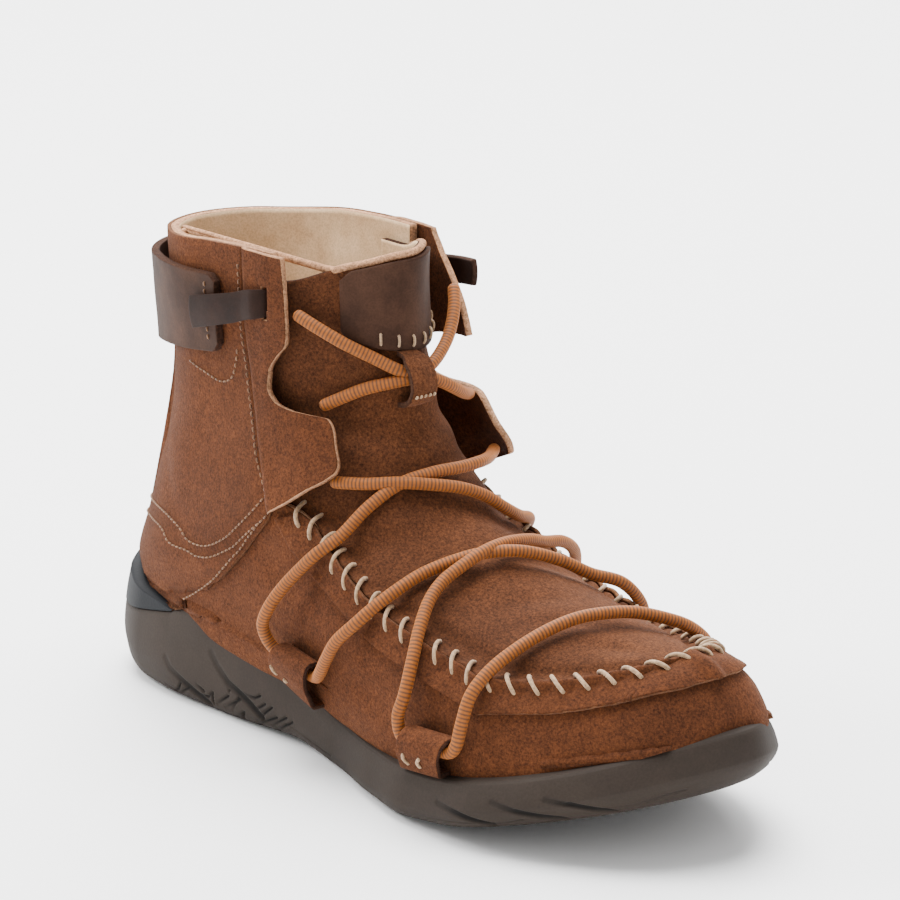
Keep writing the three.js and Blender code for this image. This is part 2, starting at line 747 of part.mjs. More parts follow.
// Label at the top of the tongue.
const LABEL = table("out up", [
  [-0.21, 1.152],
  [-0.21, 0.867],
  [-0.198, 0.84],
  [-0.121, 0.824],
  [-0.009, 0.818],
  [0.103, 0.824],
  [0.177, 0.84],
  [0.187, 0.867],
  [0.187, 1.152],
]);
const labelOutline = LABEL.map(({ out, up }) => [out * SOLE_WIDTH, up * COLLAR_HEIGHT]);
const ahead = across(0.16);
const frontHalf = fromSide([[ahead, -REACH], [REACH, -REACH], [REACH, REACH], [ahead, REACH]]);
const labelInside = (point) => level(point) + GAP;
const label = shell((point) => labelInside(point) + LABEL_THICK, labelInside)
  .intersect(fromFront(labelOutline))
  .intersect(tongueBlock(1.5))
  .intersect(frontHalf);

// Keeper: a small suede bridge on the tongue, over the upper crossing of the lace, which is two cords
// high.
const KEEPER = { out: -0.059, bottom: 0.722, top: 0.812, rise: 2 * LACE - 0.8 };
const tongueFront = rowSteps.flatMap((row, i) => {
  const point = formGrid[i][WAYS];
  const moved = point.clone().addScaledVector(outward(i, WAYS), level(point));
  return row < OPEN_ROW ? [{ up: moved.z / COLLAR_HEIGHT, at: moved.x }] : [];
});
const tongueFrontAt = through(tongueFront.reverse(), "up", "at");
function keeperLine(out) {
  return Array.from({ length: 11 }, (_, i) => {
    const up = lerp(KEEPER.bottom, KEEPER.top, i / 10);
    const bow = Math.sin((Math.PI * i) / 10) ** 0.4;
    return [tongueFrontAt(up) + GAP + KEEPER.rise * bow + out, up * COLLAR_HEIGHT];
  });
}
function keeperBody() {
  const line = [...keeperLine(KEEPER_SUEDE), ...keeperLine(0).reverse()];
  const middle = KEEPER.out * SOLE_WIDTH;
  const [left, right] = [middle - KEEPER_WIDTH / 2, middle + KEEPER_WIDTH / 2];
  return fromSide(line).intersect(
    fromFront([[left, -REACH], [right, -REACH], [right, REACH], [left, REACH]]),
  );
}

// Side lace loops: strips of suede folded over the lace, both ends standing between rim and upper.
// foot and fold say where a loop's lower edge and its fold start and end, along the boot and up,
// and lateral and medial how far out the side of the upper is there.
const LOOPS = table("name back front", [
  [
    "rear",
    table("at up lateral medial", [
      [0.281, 0, -0.384, 0.326],
      [0.307, 0.2515, -0.411, 0.359],
    ]),
    table("at up lateral medial", [
      [0.343, 0, -0.369, 0.311],
      [0.371, 0.2425, -0.424, 0.366],
    ]),
  ],
  [
    "front",
    table("at up lateral medial", [
      [0.536, 0, -0.454, 0.399],
      [0.549, 0.204, -0.451, 0.397],
    ]),
    table("at up lateral medial", [
      [0.6, 0, -0.455, 0.411],
      [0.616, 0.209, -0.44, 0.4],
    ]),
  ],
]);
const LOOP_WIDE = 2 * LOOP_SUEDE + LACE + 4 * GAP;
const LOOP_SECTION = table("out up", [
  [-0.3, 0],
  [0.4, 0],
  [0.76, 0.26],
  [0.98, 0.55],
  [1, 0.75],
  [0.9, 0.91],
  [0.68, 1],
  [0.35, 1],
  [0.1, 0.92],
  [-0.3, 0.7],
]);
const LOOP_HOLE = table("out up", [
  [0.18, 0.2],
  [0.26, 0.2],
  [0.56, 0.34],
  [0.8, 0.58],
  [0.82, 0.72],
  [0.74, 0.84],
  [0.6, 0.9],
  [0.4, 0.9],
  [0.26, 0.84],
  [0.18, 0.72],
]);
function loopRing([foot, fold], section, turn) {
  const place = ({ at, up, lateral, medial }) => {
    const x = across(at);
    const z = up > 0 ? up * COLLAR_HEIGHT : rim(x) + GAP;
    return new THREE.Vector3(x, (turn > 0 ? lateral : medial) * SOLE_WIDTH, z);
  };
  const [low, high] = [place(foot), place(fold)];
  return section.map(({ out, up }) => {
    const point = low.clone().lerp(high, up);
    return point.setY(point.y - turn * (GAP + out * LOOP_WIDE));
  });
}
function sideLoop({ back, front }, turn) {
  const body = (section, over) => {
    const [first, last] = [back, front].map((places) => loopRing(places, section, turn));
    const along = last[0].clone().sub(first[0]).normalize().multiplyScalar(over);
    const rings = [first.map((point) => point.sub(along)), last.map((point) => point.add(along))];
    return loft(turn > 0 ? rings.reverse() : rings);
  };
  return body(LOOP_SECTION, 0).subtract(body(LOOP_HOLE, 2)).subtract(form(1.5 * GAP));
}

// Lace: one round elastic cord. Its route is a list of places chosen by hand.
const LACE_SIDES = 6;
function cord(points, steps) {
  const route = new THREE.CatmullRomCurve3(points.map((point) => new THREE.Vector3(...point)));
  const section = new THREE.Shape();
  section.absarc(0, 0, LACE / 2, 0, 2 * Math.PI, false);
  const geometry = new THREE.ExtrudeGeometry(section, {
    curveSegments: LACE_SIDES / 2,
    steps,
    extrudePath: route,
    bevelEnabled: false,
  });
  return toSolid(geometry);
}
const FROM_LATERAL_TOP = [
  [75.5, -31.5, 147],
  [82.6, -28.2, 143.2],
  [90.3, -23.3, 138.6],
  [97, -16.3, 133.8],
  [103.4, -10.2, 129.7],
  [106.2, -3.8, 127.4],
  [106.8, 3.5, 124.5],
  [106.3, 10, 121],
  [103.5, 16.5, 117.5],
  [99, 22.5, 115],
  [94, 27.3, 113],
];
const FROM_MEDIAL_TOP = [
  [90, 24, 150],
  [95.5, 19.5, 143.5],
  [100, 13.5, 137],
  [103.8, 6, 132.2],
  [106, -0.5, 129.5],
  [106, -6, 127.3],
  [102.6, -12, 126],
  [96, -19, 123.5],
  [90, -24, 120],
  [84.5, -28.3, 116.6],
];
const FROM_MEDIAL_TAB = [
  [103.5, 30.5, 96],
  [107, 26, 95.5],
  [112, 20, 96.3],
  [116, 12.7, 97.3],
  [116.8, 4.8, 97.4],
  [116.1, -7, 97.6],
  [113, -18.8, 95.2],
  [109.6, -29, 88.6],
  [105.6, -37.5, 79.5],
  [101.3, -44, 73.9],
  [95.8, -46.6, 67.7],
  [90, -49, 60.6],
  [85.5, -51.3, 53],
  [82.6, -51.3, 46.5],
  [83.4, -49.4, 40.6],
  [87.5, -48, 37.2],
  [92, -48.1, 36.3],
  [95.85, -48.2, 35.8],
];
const FROM_LATERAL_TAB = [
  [94.5, -32.3, 94.4],
  [105.3, -27, 95.2],
  [113.8, -19, 96],
  [119, -9.8, 94.8],
  [122.2, 0.2, 92.4],
  [123.4, 9.2, 88.2],
  [123.6, 17.5, 82.5],
  [120.5, 26.5, 77.2],
  [115, 35.5, 73.2],
  [107, 40.2, 66.5],
  [98.5, 43.6, 59],
  [90.5, 45.6, 51.5],
  [84.5, 46, 46],
  [83.4, 43.8, 40.6],
  [87.5, 42.3, 37.2],
  [92, 42.2, 36.3],
  [95.85, 42.2, 35.8],
];
const FROM_LATERAL_REAR = [
  [96.15, -48.2, 35.8],
  [101, -48.4, 35],
  [106.5, -48.6, 34.5],
  [112, -51.2, 38],
  [117, -52.5, 44.5],
  [122, -52.6, 51.5],
  [128.6, -49.4, 59],
  [132.4, -43.6, 65],
  [135.3, -37.2, 69.6],
  [137.4, -30, 73.2],
  [141.2, -20.8, 76.4],
  [146.5, -12, 78.8],
  [152, -1, 78.6],
  [156.5, 12, 74],
  [160, 22.5, 68],
  [163.4, 33, 63.6],
  [163.6, 41.2, 55],
  [159.8, 46.4, 44.4],
  [155.4, 48.2, 35.5],
  [156.3, 47.9, 29.6],
  [159.5, 47.3, 28.4],
  [163, 47.3, 28.5],
  [167.85, 47.4, 28.6],
];
const FROM_MEDIAL_REAR = [
  [96.15, 42.2, 35.8],
  [101, 42.3, 35],
  [106.5, 42.4, 34.5],
  [112, 45, 38],
  [119, 46.6, 47],
  [126.8, 45, 57],
  [132.8, 39.6, 65.6],
  [137, 31, 71.4],
  [140.6, 20, 74.6],
  [144.3, 9.1, 78.4],
  [146.8, -3.8, 80.4],
  [147.6, -13, 79.6],
  [147, -21, 76.6],
  [146, -28, 72.8],
  [147.4, -34.6, 68.5],
  [151, -41.8, 61.8],
  [155, -48.5, 52.5],
  [156.4, -52.8, 43],
  [155, -54.3, 35.5],
  [156.2, -53.7, 29.6],
  [159.5, -53, 28.4],
  [163, -53, 28.5],
  [167.85, -52.8, 28.6],
];
const OVER_TOE = [
  [168.15, -52.8, 28.6],
  [173.5, -52.6, 29],
  [178.3, -52.4, 29.9],
  [181, -52.3, 33],
  [181.8, -51.2, 39],
  [182.2, -47.4, 48.8],
  [182.8, -40.4, 55.2],
  [184.6, -31.3, 60.6],
  [187, -20, 65.2],
  [189.4, -10.4, 67.6],
  [191.7, -2, 68],
  [194.8, 9.3, 66.8],
  [198, 19.3, 63.6],
  [199.2, 28.6, 59.2],
  [198.4, 36.8, 52.8],
  [194, 43, 45.4],
  [187.5, 46.6, 38],
  [182, 47.9, 32.6],
  [178.3, 47.8, 29.9],
  [173.5, 47.6, 29],
  [168.15, 47.4, 28.6],
];
const laceUpper = cord(FROM_LATERAL_TOP, 14).add(cord(FROM_MEDIAL_TOP, 14));
const laceMiddle = cord(FROM_MEDIAL_TAB, 25).add(cord(FROM_LATERAL_TAB, 25));
const laceLower = cord(FROM_LATERAL_REAR, 28).add(cord(FROM_MEDIAL_REAR, 28));
const laceToe = cord(OVER_TOE, 28);

// Nodes
const group = new THREE.Group();
function addNode(name, body, color, roughness = 0.95) {
  const mesh = body.getMesh();
  const geometry = new THREE.BufferGeometry();
  geometry.setAttribute("position", new THREE.BufferAttribute(new Float32Array(mesh.vertProperties), 3));
  geometry.setIndex(new THREE.BufferAttribute(new Uint32Array(mesh.triVerts), 1));
  const material = new THREE.MeshStandardMaterial({ color, roughness, metalness: 0 });
  const node = new THREE.Mesh(geometry, material);
  node.name = name;
  group.add(node);
}
const SUEDE = 0x8a5a3c;
addNode("outsole", outsole, 0x5c5349, 0.7);
addNode("heel_clip", heelClip, 0x41474d, 0.6);
addNode("upper", upper, SUEDE);
addNode("apron_tongue", apronTongue, 0x7a4e35);
addNode("seam_strip", seamStrip, SUEDE);
addNode("facing_lateral", facingLateral, SUEDE);
addNode("facing_medial", facingMedial, SUEDE);
addNode("insole", insole, 0xa98c64);
addNode("tongue_label", label, 0x5f4839, 0.6);
addNode("ankle_band", ankleBand, 0x5f4839, 0.6);
addNode("strap_tab_lateral", strapTab(1, LATERAL_END), 0x4a372d, 0.6);
addNode("strap_tab_medial", strapTab(-1, MEDIAL_END), 0x4a372d, 0.6);
addNode("lace_keeper", keeperBody(), SUEDE);
LOOPS.forEach((loop) => {
  addNode(`lace_loop_${loop.name}_lateral`, sideLoop(loop, 1), SUEDE);
  addNode(`lace_loop_${loop.name}_medial`, sideLoop(loop, -1), SUEDE);
});
const CORD = 0xc07a3c;
addNode("lace_upper_crossing", laceUpper, CORD, 0.8);
addNode("lace_middle_crossing", laceMiddle, CORD, 0.8);
addNode("lace_lower_crossing", laceLower, CORD, 0.8);
addNode("lace_toe_bar", laceToe, CORD, 0.8);

export default group;
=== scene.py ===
import math

import bmesh
import bpy
import numpy as np
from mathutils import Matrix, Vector


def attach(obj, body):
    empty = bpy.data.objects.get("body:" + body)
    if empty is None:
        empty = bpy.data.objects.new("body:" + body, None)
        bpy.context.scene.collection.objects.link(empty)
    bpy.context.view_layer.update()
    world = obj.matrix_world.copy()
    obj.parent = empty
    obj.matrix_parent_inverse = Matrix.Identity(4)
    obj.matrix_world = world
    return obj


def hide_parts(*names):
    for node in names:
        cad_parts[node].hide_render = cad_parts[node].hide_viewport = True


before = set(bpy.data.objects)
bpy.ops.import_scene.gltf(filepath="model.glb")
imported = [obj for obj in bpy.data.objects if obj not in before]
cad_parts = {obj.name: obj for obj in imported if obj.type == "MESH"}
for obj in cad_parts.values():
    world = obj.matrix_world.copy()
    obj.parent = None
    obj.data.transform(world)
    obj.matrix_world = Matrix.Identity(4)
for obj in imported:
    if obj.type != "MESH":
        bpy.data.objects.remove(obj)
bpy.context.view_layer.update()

# Camera: the photo's angle to the boot, from its outer side and a little above. Sizes here and below
# are in millimetres and become metres when a mesh is made.
MM = 0.001
AZIMUTH, ELEVATION = math.radians(49.65), math.radians(16.82)
DISTANCE, FOCAL_SHARE = 1545.27, 4706.73 / 900
AIM = Vector((100, 0, 70))
SIDESTEP, RISE = 10.63, 28.85
SENSOR = 36

back = Vector(
    (
        math.sin(AZIMUTH) * math.cos(ELEVATION),
        -math.cos(AZIMUTH) * math.cos(ELEVATION),
        math.sin(ELEVATION),
    )
)
rightward = Vector((math.cos(AZIMUTH), math.sin(AZIMUTH), 0))
upward = back.cross(rightward)
camera_data = bpy.data.cameras.new("camera")
camera_data.sensor_width = SENSOR
camera_data.lens = SENSOR * FOCAL_SHARE
camera_data.clip_end = 20
camera = bpy.data.objects.new("camera", camera_data)
camera.location = (AIM + back * DISTANCE + rightward * SIDESTEP + upward * RISE) * MM
camera.rotation_mode = "QUATERNION"
camera.rotation_quaternion = (-back).to_track_quat("-Z", "Y")
bpy.context.collection.objects.link(camera)
bpy.context.scene.camera = camera

# Last: the foot form that the upper is pulled over. It isn't shown. Every panel of the boot is laid on
# it by a row, which fans from the collar round the heel to the toe, and a way across the row.
LENGTH, BALL_WIDTH = 290, 107
HEEL_BACK, HEEL_BEVEL, WAIST_LIFT, TOE_SPRING = 40, 7, 1.6, 25
FOOTBED, RIM, CLIP = 18, 36, 32
LEDGE, RIM_INSET, TREAD_INSET = 6, 3, 8
OPEN_ROW, LAST_ROW = 9, 21


def lerp(a, b, share):
    return a + (b - a) * share


def smoothstep(x, low, high):
    t = np.clip((np.asarray(x, float) - low) / (high - low), 0, 1)
    return t * t * (3 - 2 * t)


def hermite(knots, levels, at):
    """Smooth line through levels at even or uneven knots, that never overshoots them."""
    steps = np.diff(levels, axis=-1) / np.diff(knots)
    inner = steps[..., :-1] * steps[..., 1:]
    mean = 2 * inner / np.where(inner > 0, steps[..., :-1] + steps[..., 1:], 1)
    slopes = np.concatenate(
        [steps[..., :1], np.where(inner > 0, mean, 0), steps[..., -1:]], axis=-1
    )
    at = np.clip(at, knots[0], knots[-1])
    i = np.clip(np.searchsorted(knots, at, side="right") - 1, 0, len(knots) - 2)
    width = knots[i + 1] - knots[i]
    u = (at - knots[i]) / width

    def pick(values, index):
        if values.ndim == 1:
            return values[index]
        return np.take_along_axis(values, index[..., None], axis=-1)[..., 0]

    ease = u * u * (3 - 2 * u)
    leave = pick(slopes, i) * u * (1 - u) ** 2
    arrive = pick(slopes, i + 1) * u * u * (u - 1)
    return pick(levels, i) * (1 - ease) + pick(levels, i + 1) * ease + width * (leave + arrive)


def line(rows, key=0, value=1):
    """A function through two columns of a short table."""
    knots = np.array([row[key] for row in rows], float)
    levels = np.array([row[value] for row in rows], float)
    return lambda at: hermite(knots, levels, np.asarray(at, float))


# Sole outline at its widest: share of the length, and half widths as shares of the ball's width.
OUTLINE = [
    (0.0, 0.0, 0.0),
    (0.02, 0.165, 0.15),
    (0.06, 0.28, 0.255),
    (0.12, 0.35, 0.32),
    (0.2, 0.368, 0.335),
    (0.3, 0.364, 0.322),
    (0.4, 0.356, 0.305),
    (0.5, 0.39, 0.33),
    (0.6, 0.466, 0.402),
    (0.68, 0.514, 0.458),
    (0.76, 0.518, 0.477),
    (0.84, 0.463, 0.458),
    (0.9, 0.37, 0.408),
    (0.95, 0.25, 0.32),
    (0.985, 0.095, 0.2),
    (1.0, -0.08, 0.08),
]
turned = [(math.acos(1 - 2 * at), lateral, medial) for at, lateral, medial in OUTLINE]
lateral_share, medial_share = line(turned, 0, 1), line(turned, 0, 2)


def outline(at, side, inset):
    """A point of the sole's outline drawn in by inset, on the lateral (-1) or medial (1) side."""
    turn = np.arccos(1 - 2 * np.clip(at, 0, 1))
    lateral, medial = lateral_share(turn) * BALL_WIDTH, medial_share(turn) * BALL_WIDTH
    half = (lateral + medial) / 2 * (1 - 2 * inset / BALL_WIDTH)
    x = -HEEL_BACK + inset + at * (LENGTH - 2 * inset)
    return x, (medial - lateral) / 2 + side * half, half, (medial - lateral) / 2


def share_of(x, inset=0.0):
    return (x + HEEL_BACK - inset) / (LENGTH - 2 * inset)


def middle_at(x):
    return outline(share_of(x, LEDGE), 1, LEDGE)[3]


bevel_share = line([(0, 1), (0.05, 0.28), (0.1, 0), (1, 0)])
waist_share = line([(0, 0), (0.27, 0), (0.4, 1), (0.53, 0), (1, 0)])
spring_share = line(
    [(0, 0), (0.64, 0), (0.72, 0.1), (0.8, 0.285), (0.88, 0.53), (0.94, 0.75), (1, 1)]
)
seat_share = line([(0, 1), (0.2, 1), (0.45, 0.72), (0.62, 0.56), (0.8, 0.52), (1, 0.56)])


def tread(x):
    at = share_of(x)
    bevel = HEEL_BEVEL * bevel_share(at)
    return bevel + WAIST_LIFT * waist_share(at) + TOE_SPRING * spring_share(at)


def seat(x):
    return tread(x) + FOOTBED * seat_share(share_of(x))


# Rows of the last, in millimetres seen from the side: the front end and the back end of each row, how
# far it closes round the heel, and its half widths on the way down. A row without a back height ends on
# the foot's seat.
SEATED = -1
ROWS = [
    (106, 181, -10, 179, 1, 16, 30.5, 31, 21),
    (103.5, 165, -12.5, 161, 1, 16, 31, 31.5, 21),
    (103, 150, -13, 140, 1, 16.5, 31, 30.5, 19.5),
    (103, 136, -12, 118, 1, 17, 30.5, 29, 18.5),
    (104.5, 123, -14, 98, 1, 19, 31.5, 29.5, 18.5),
    (107, 112, -21, 76, 1, 22, 34, 31, 19),
    (110.5, 103, -29.5, 54, 1, 25, 37, 33, 19.5),
    (114.5, 96, -34.5, 38, 1, 28, 39, 35, 21.5),
    (118.5, 91.5, -34.5, 27, 0.88, 26.5, 38.5, 37, 28),
    (122.5, 87.8, -29, SEATED, 0.72, 24.5, 38, 39, 33.3),
    (128.5, 83.3, -14, SEATED, 0.58, 20.5, 37.5, 39.5, 36.2),
    (136, 79.5, 12, SEATED, 0.5, 18.5, 37.5, 40.5, 38.2),
    (146, 75.5, 50, SEATED, 0.5, 17, 37, 42.5, 39.8),
    (158, 72, 95, SEATED, 0.5, 16.5, 35, 44, 42),
    (172, 68.5, 140, SEATED, 0.5, 15.5, 33, 43.5, 45.5),
    (189, 65, 174, SEATED, 0.5, 15, 31, 42, 45.5),
    (206, 62.5, 203, SEATED, 0.5, 13.5, 27.5, 36.5, 40.5),
    (221, 61, 222, SEATED, 0.5, 12, 23.5, 30.5, 33.5),
    (232, 59.5, 234.5, SEATED, 0.5, 10, 18, 23.5, 26.5),
    (238.5, 54, 241.5, SEATED, 0.5, 6.5, 12, 16.5, 19),
    (242.5, 46, 244.5, SEATED, 0.5, 3.5, 7, 9.5, 11),
    (244.5, 37.5, 245, SEATED, 0.5, 0.6, 1.1, 1.3, 1.5),
]
numbered = [
    (
        index,
        front_x,
        front_z - float(tread(front_x)),
        back_x,
        0 if back_z == SEATED else back_z - float(tread(back_x)),
        *others,
    )
    for index, (front_x, front_z, back_x, back_z, *others) in enumerate(ROWS)
]
columns = [line(numbered, 0, column) for column in range(1, 10)]
heel_rise = numbered[OPEN_ROW - 1][4]


def row_ends(row):
    """The front and back ends of rows seen from the side, and how far they close."""
    front_x, front_up, back_x, back_up, close = (column(row) for column in columns[:5])
    seated = np.clip(row - (OPEN_ROW - 1), 0, 1)
    back_z = np.where(
        seated > 0, lerp(tread(back_x) + heel_rise, seat(back_x), seated), tread(back_x) + back_up
    )
    return front_x, tread(front_x) + front_up, back_x, back_z, close, seated


def last(row, way):
    """Points of the last in millimetres. way is 0 at the front, 1 lateral and -1 medial at the back."""
    row, way = np.broadcast_arrays(np.asarray(row, float), np.asarray(way, float))
    front_x, front_z, back_x, back_z, close, seated = row_ends(row)
    whole = close > 0.999
    way = np.where(whole & (way > 1), way - 2, np.where(whole & (way < -1), way + 2, way))
    share = np.clip(np.abs(way), 0, 1)
    foot = seated * outline(share_of(back_x, LEDGE), 1, LEDGE)[2]
    levels = np.stack([0 * row, *(column(row) for column in columns[5:]), foot], axis=-1)
    width = hermite(np.linspace(0, 1, 6), levels, share)
    down = (1 - np.cos(np.pi * share * close)) / (1 - np.cos(np.pi * close))
    x, z = lerp(front_x, back_x, down), lerp(front_z, back_z, down)
    y = middle_at(x) + np.where(way < 0, 1, -1) * width
    return np.stack([x, y, z], axis=-1)


def outward(row, way):
    """Unit direction out of the last."""
    row, way = np.broadcast_arrays(np.asarray(row, float), np.asarray(way, float))
    near = 0.01
    inside = np.where(row_ends(row)[4] > 0.999, 9, 1)
    around = last(row, np.minimum(way + near, inside)) - last(row, np.maximum(way - near, -inside))
    along = last(np.minimum(row + near, LAST_ROW), way) - last(np.maximum(row - near, 0), way)
    normal = np.cross(around, along)
    return normal / np.maximum(np.linalg.norm(normal, axis=-1, keepdims=True), 1e-9)


def on_last(row, way, out):
    return last(row, way) + outward(row, way) * np.asarray(out)[..., None]


dense_rows = np.linspace(0, LAST_ROW, 2101)
dense_ends = row_ends(dense_rows)


def seen_from_side(x, z):
    """The row and way of places seen from the side."""
    x, z = np.broadcast_arrays(np.asarray(x, float), np.asarray(z, float))
    flat_x, flat_z = x.ravel()[:, None], z.ravel()[:, None]
    front_x, front_z, back_x, back_z = dense_ends[:4]
    dx, dz = back_x - front_x, back_z - front_z
    turn = dx * (flat_z - front_z) - dz * (flat_x - front_x)
    change = turn[:, :-1] * turn[:, 1:] <= 0
    i = np.argmax(change, axis=1)
    every = np.arange(len(i))
    before, after = turn[every, i], turn[every, i + 1]
    row = dense_rows[i] + (dense_rows[1] - dense_rows[0]) * before / (before - after + 1e-12)
    fx, fz, bx, bz, close, _ = row_ends(row)
    down = ((flat_x[:, 0] - fx) * (bx - fx) + (flat_z[:, 0] - fz) * (bz - fz)) / (
        (bx - fx) ** 2 + (bz - fz) ** 2
    )
    down = np.clip(down, 0, 1)
    way = np.arccos(1 - down * (1 - np.cos(np.pi * close))) / (np.pi * close)
    return row.reshape(x.shape), way.reshape(x.shape)


def on_side(x, z, side, out):
    """Places on the boot, seen from the side, on its lateral (-1) or medial (1) half."""
    row, way = seen_from_side(x, z)
    return on_last(row, -side * way, out)


def found(target, axes, row, way, rounds=16):
    """Rows and ways whose places match target on the named axes, stepped on from a first guess."""
    step = 0.004
    row, way = np.array(row, float), np.array(way, float)
    for _ in range(rounds):
        here = last(row, way)[..., axes]
        by_row = (last(row + step, way)[..., axes] - here) / step
        by_way = (last(row, way + step)[..., axes] - here) / step
        miss = target - here
        a, b, c = (by_row**2).sum(-1), (by_row * by_way).sum(-1), (by_way**2).sum(-1)
        p, q = (by_row * miss).sum(-1), (by_way * miss).sum(-1)
        det = np.maximum(a * c - b * b, 1e-6)
        row = np.clip(row + np.clip((c * p - b * q) / det, -1, 1), 0, LAST_ROW - 0.01)
        way = way + np.clip((a * q - b * p) / det, -0.2, 0.2)
    return row, way


# Upper: one wall of suede with a lining, cut away in front for the tongue and apron. Its throat and
# its moccasin seam are the lines below, seen from the side, and round the toe from above.
WALL = 2.8
THROAT = [
    (83, 77.2),
    (88, 75),
    (98, 70),
    (114, 63.5),
    (127, 62),
    (138, 66),
    (150, 66.5),
    (185, 66.5),
]
SEAM = [
    (77, 85.5),
    (92.5, 81),
    (105, 73.4),
    (119.5, 66.9),
    (134, 61),
    (149, 56.9),
    (162, 54),
    (175, 51.5),
    (190, 47),
    (206, 42),
    (232, 37),
]
APRON_TOE = [
    (0, 60),
    (120, 58),
    (150, 45),
    (165, 40),
    (176, 37.8),
    (184, 36.2),
    (191, 34.2),
    (198, 31.6),
    (205, 28.2),
    (211, 24.6),
    (216.5, 20.2),
    (221.5, 14.8),
    (224.8, 8.6),
    (226.6, 0),
]
STRIP_EDGE = [
    (76, 80),
    (79, 77.8),
    (87, 71),
    (108, 61.4),
    (131.5, 53),
    (147, 49),
    (158, 46.4),
    (169, 44.4),
    (182, 42),
    (200, 38),
    (232, 36),
]
STRIP_TOE = [
    (0, 70),
    (120, 66),
    (150, 54),
    (165, 47.5),
    (177, 44),
    (189, 41.2),
    (199, 38),
    (208.6, 34.4),
    (217.4, 30),
    (224.7, 25),
    (231, 18.5),
    (235, 11.5),
    (237.2, 0),
]
throat_x, seam_z, apron_half = line(THROAT), line(SEAM), line(APRON_TOE)
strip_z, strip_half = line(STRIP_EDGE), line(STRIP_TOE)
collar_z = line([(-44, 157.6), (0, 159.7), (35, 163.7), (58, 165), (300, 166.5)])


def in_opening(point):
    x, y, z = point[..., 0], point[..., 1], point[..., 2]
    beside = np.where(z > 85, x > throat_x(z), (z > seam_z(x)) & (x > 77))
    return beside & (np.abs(y - middle_at(x)) < apron_half(x)) & (x < APRON_TOE[-1][0])


def above_strip_edge(point):
    x, y, z = point[..., 0], point[..., 1], point[..., 2]
    return (z > strip_z(x)) & (np.abs(y - middle_at(x)) < strip_half(x)) & (x < STRIP_TOE[-1][0])


def first_out(test, row, start=0.0, end=1.0, rounds=26):
    """For each row, the way at which a test that holds at start stops holding."""
    low, high = np.zeros_like(row) + start, np.zeros_like(row) + end
    for _ in range(rounds):
        mid = (low + high) / 2
        holds = test(last(row, mid))
        low, high = np.where(holds, mid, low), np.where(holds, high, mid)
    return np.where(test(last(row, np.zeros_like(row) + start)), low, start)


def collar_row(way):
    """The row at which each way meets the collar's edge."""
    low, high = np.zeros_like(way), np.zeros_like(way) + 3
    for _ in range(18):
        mid = (low + high) / 2
        point = last(mid, way)
        above = point[..., 2] > collar_z(point[..., 0])
        low, high = np.where(above, mid, low), np.where(above, high, mid)
    return low


def evened(test, first, final, count):
    """Rows spaced evenly along the edge that a test draws on the last."""
    rows = np.linspace(first, final, 3001)
    edge = last(rows, first_out(test, rows))
    run = np.concatenate([[0], np.cumsum(np.linalg.norm(np.diff(edge, axis=0), axis=1))])
    return np.interp(np.linspace(0, run[-1], count), run, rows)


def tip_row(test):
    rows = np.linspace(10, LAST_ROW, 4001)
    return rows[np.nonzero(test(last(rows, 0 * rows)))[0][-1]]


seam_tip, strip_tip = tip_row(in_opening), tip_row(above_strip_edge)
seam_start = float(seen_from_side(78, 85)[0])
shaft_rows = np.linspace(0, seam_start, 60)
seam_rows = evened(in_opening, seam_start, seam_tip, 170)
toe_rows = np.linspace(seam_tip, LAST_ROW, 34)
upper_rows = np.concatenate([shaft_rows[:-1], seam_rows[:-1], toe_rows])


HEART = Vector((0.08, -0.002, 0.06))
MERGE, SLIVER = 2e-6, 1e-7


def laid_grid(name, across, along, place, keep=None):
    """A grid of faces laid by place(u, v), both from 0 to 1, facing out from the boot's heart.

    Its UV map holds u and v, or what place gives beside the places where a material needs it.
    """
    sheet = bmesh.new()
    bmesh.ops.create_grid(sheet, x_segments=across, y_segments=along, size=0.5)
    uv = np.array([(v.co.x + 0.5, v.co.y + 0.5) for v in sheet.verts])
    laid = place(uv[:, 0], uv[:, 1])
    points, chart = laid if isinstance(laid, tuple) else (laid, uv)
    layer = sheet.loops.layers.uv.new("chart")
    sheet.verts.ensure_lookup_table()
    for vert, point in zip(sheet.verts, points * MM):
        vert.co = point
    for face in sheet.faces:
        for loop in face.loops:
            loop[layer].uv = chart[loop.vert.index]
    if keep is not None:
        kept = keep(uv[:, 0], uv[:, 1])
        gone = [face for face in sheet.faces if not all(kept[v.index] for v in face.verts)]
        bmesh.ops.delete(sheet, geom=gone, context="FACES")
    bmesh.ops.remove_doubles(sheet, verts=sheet.verts, dist=MERGE)
    bmesh.ops.dissolve_degenerate(sheet, edges=sheet.edges, dist=SLIVER)
    sheet.normal_update()
    facing_out = sum(
        (face.calc_center_median() - HEART).dot(face.normal) * face.calc_area() for face in sheet.faces
    )
    if facing_out < 0:
        bmesh.ops.reverse_faces(sheet, faces=sheet.faces)
    return finished(name, sheet)


def finished(name, sheet):
    """A bmesh as a shown piece that rides with the boot, smoothly shaded."""
    mesh = bpy.data.meshes.new(name)
    sheet.to_mesh(mesh)
    sheet.free()
    mesh.shade_smooth()
    piece = bpy.data.objects.new(name, mesh)
    bpy.context.collection.objects.link(piece)
    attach(piece, "root")
    return piece


THIN_FROM, THIN_TO = 0.215, 0.24


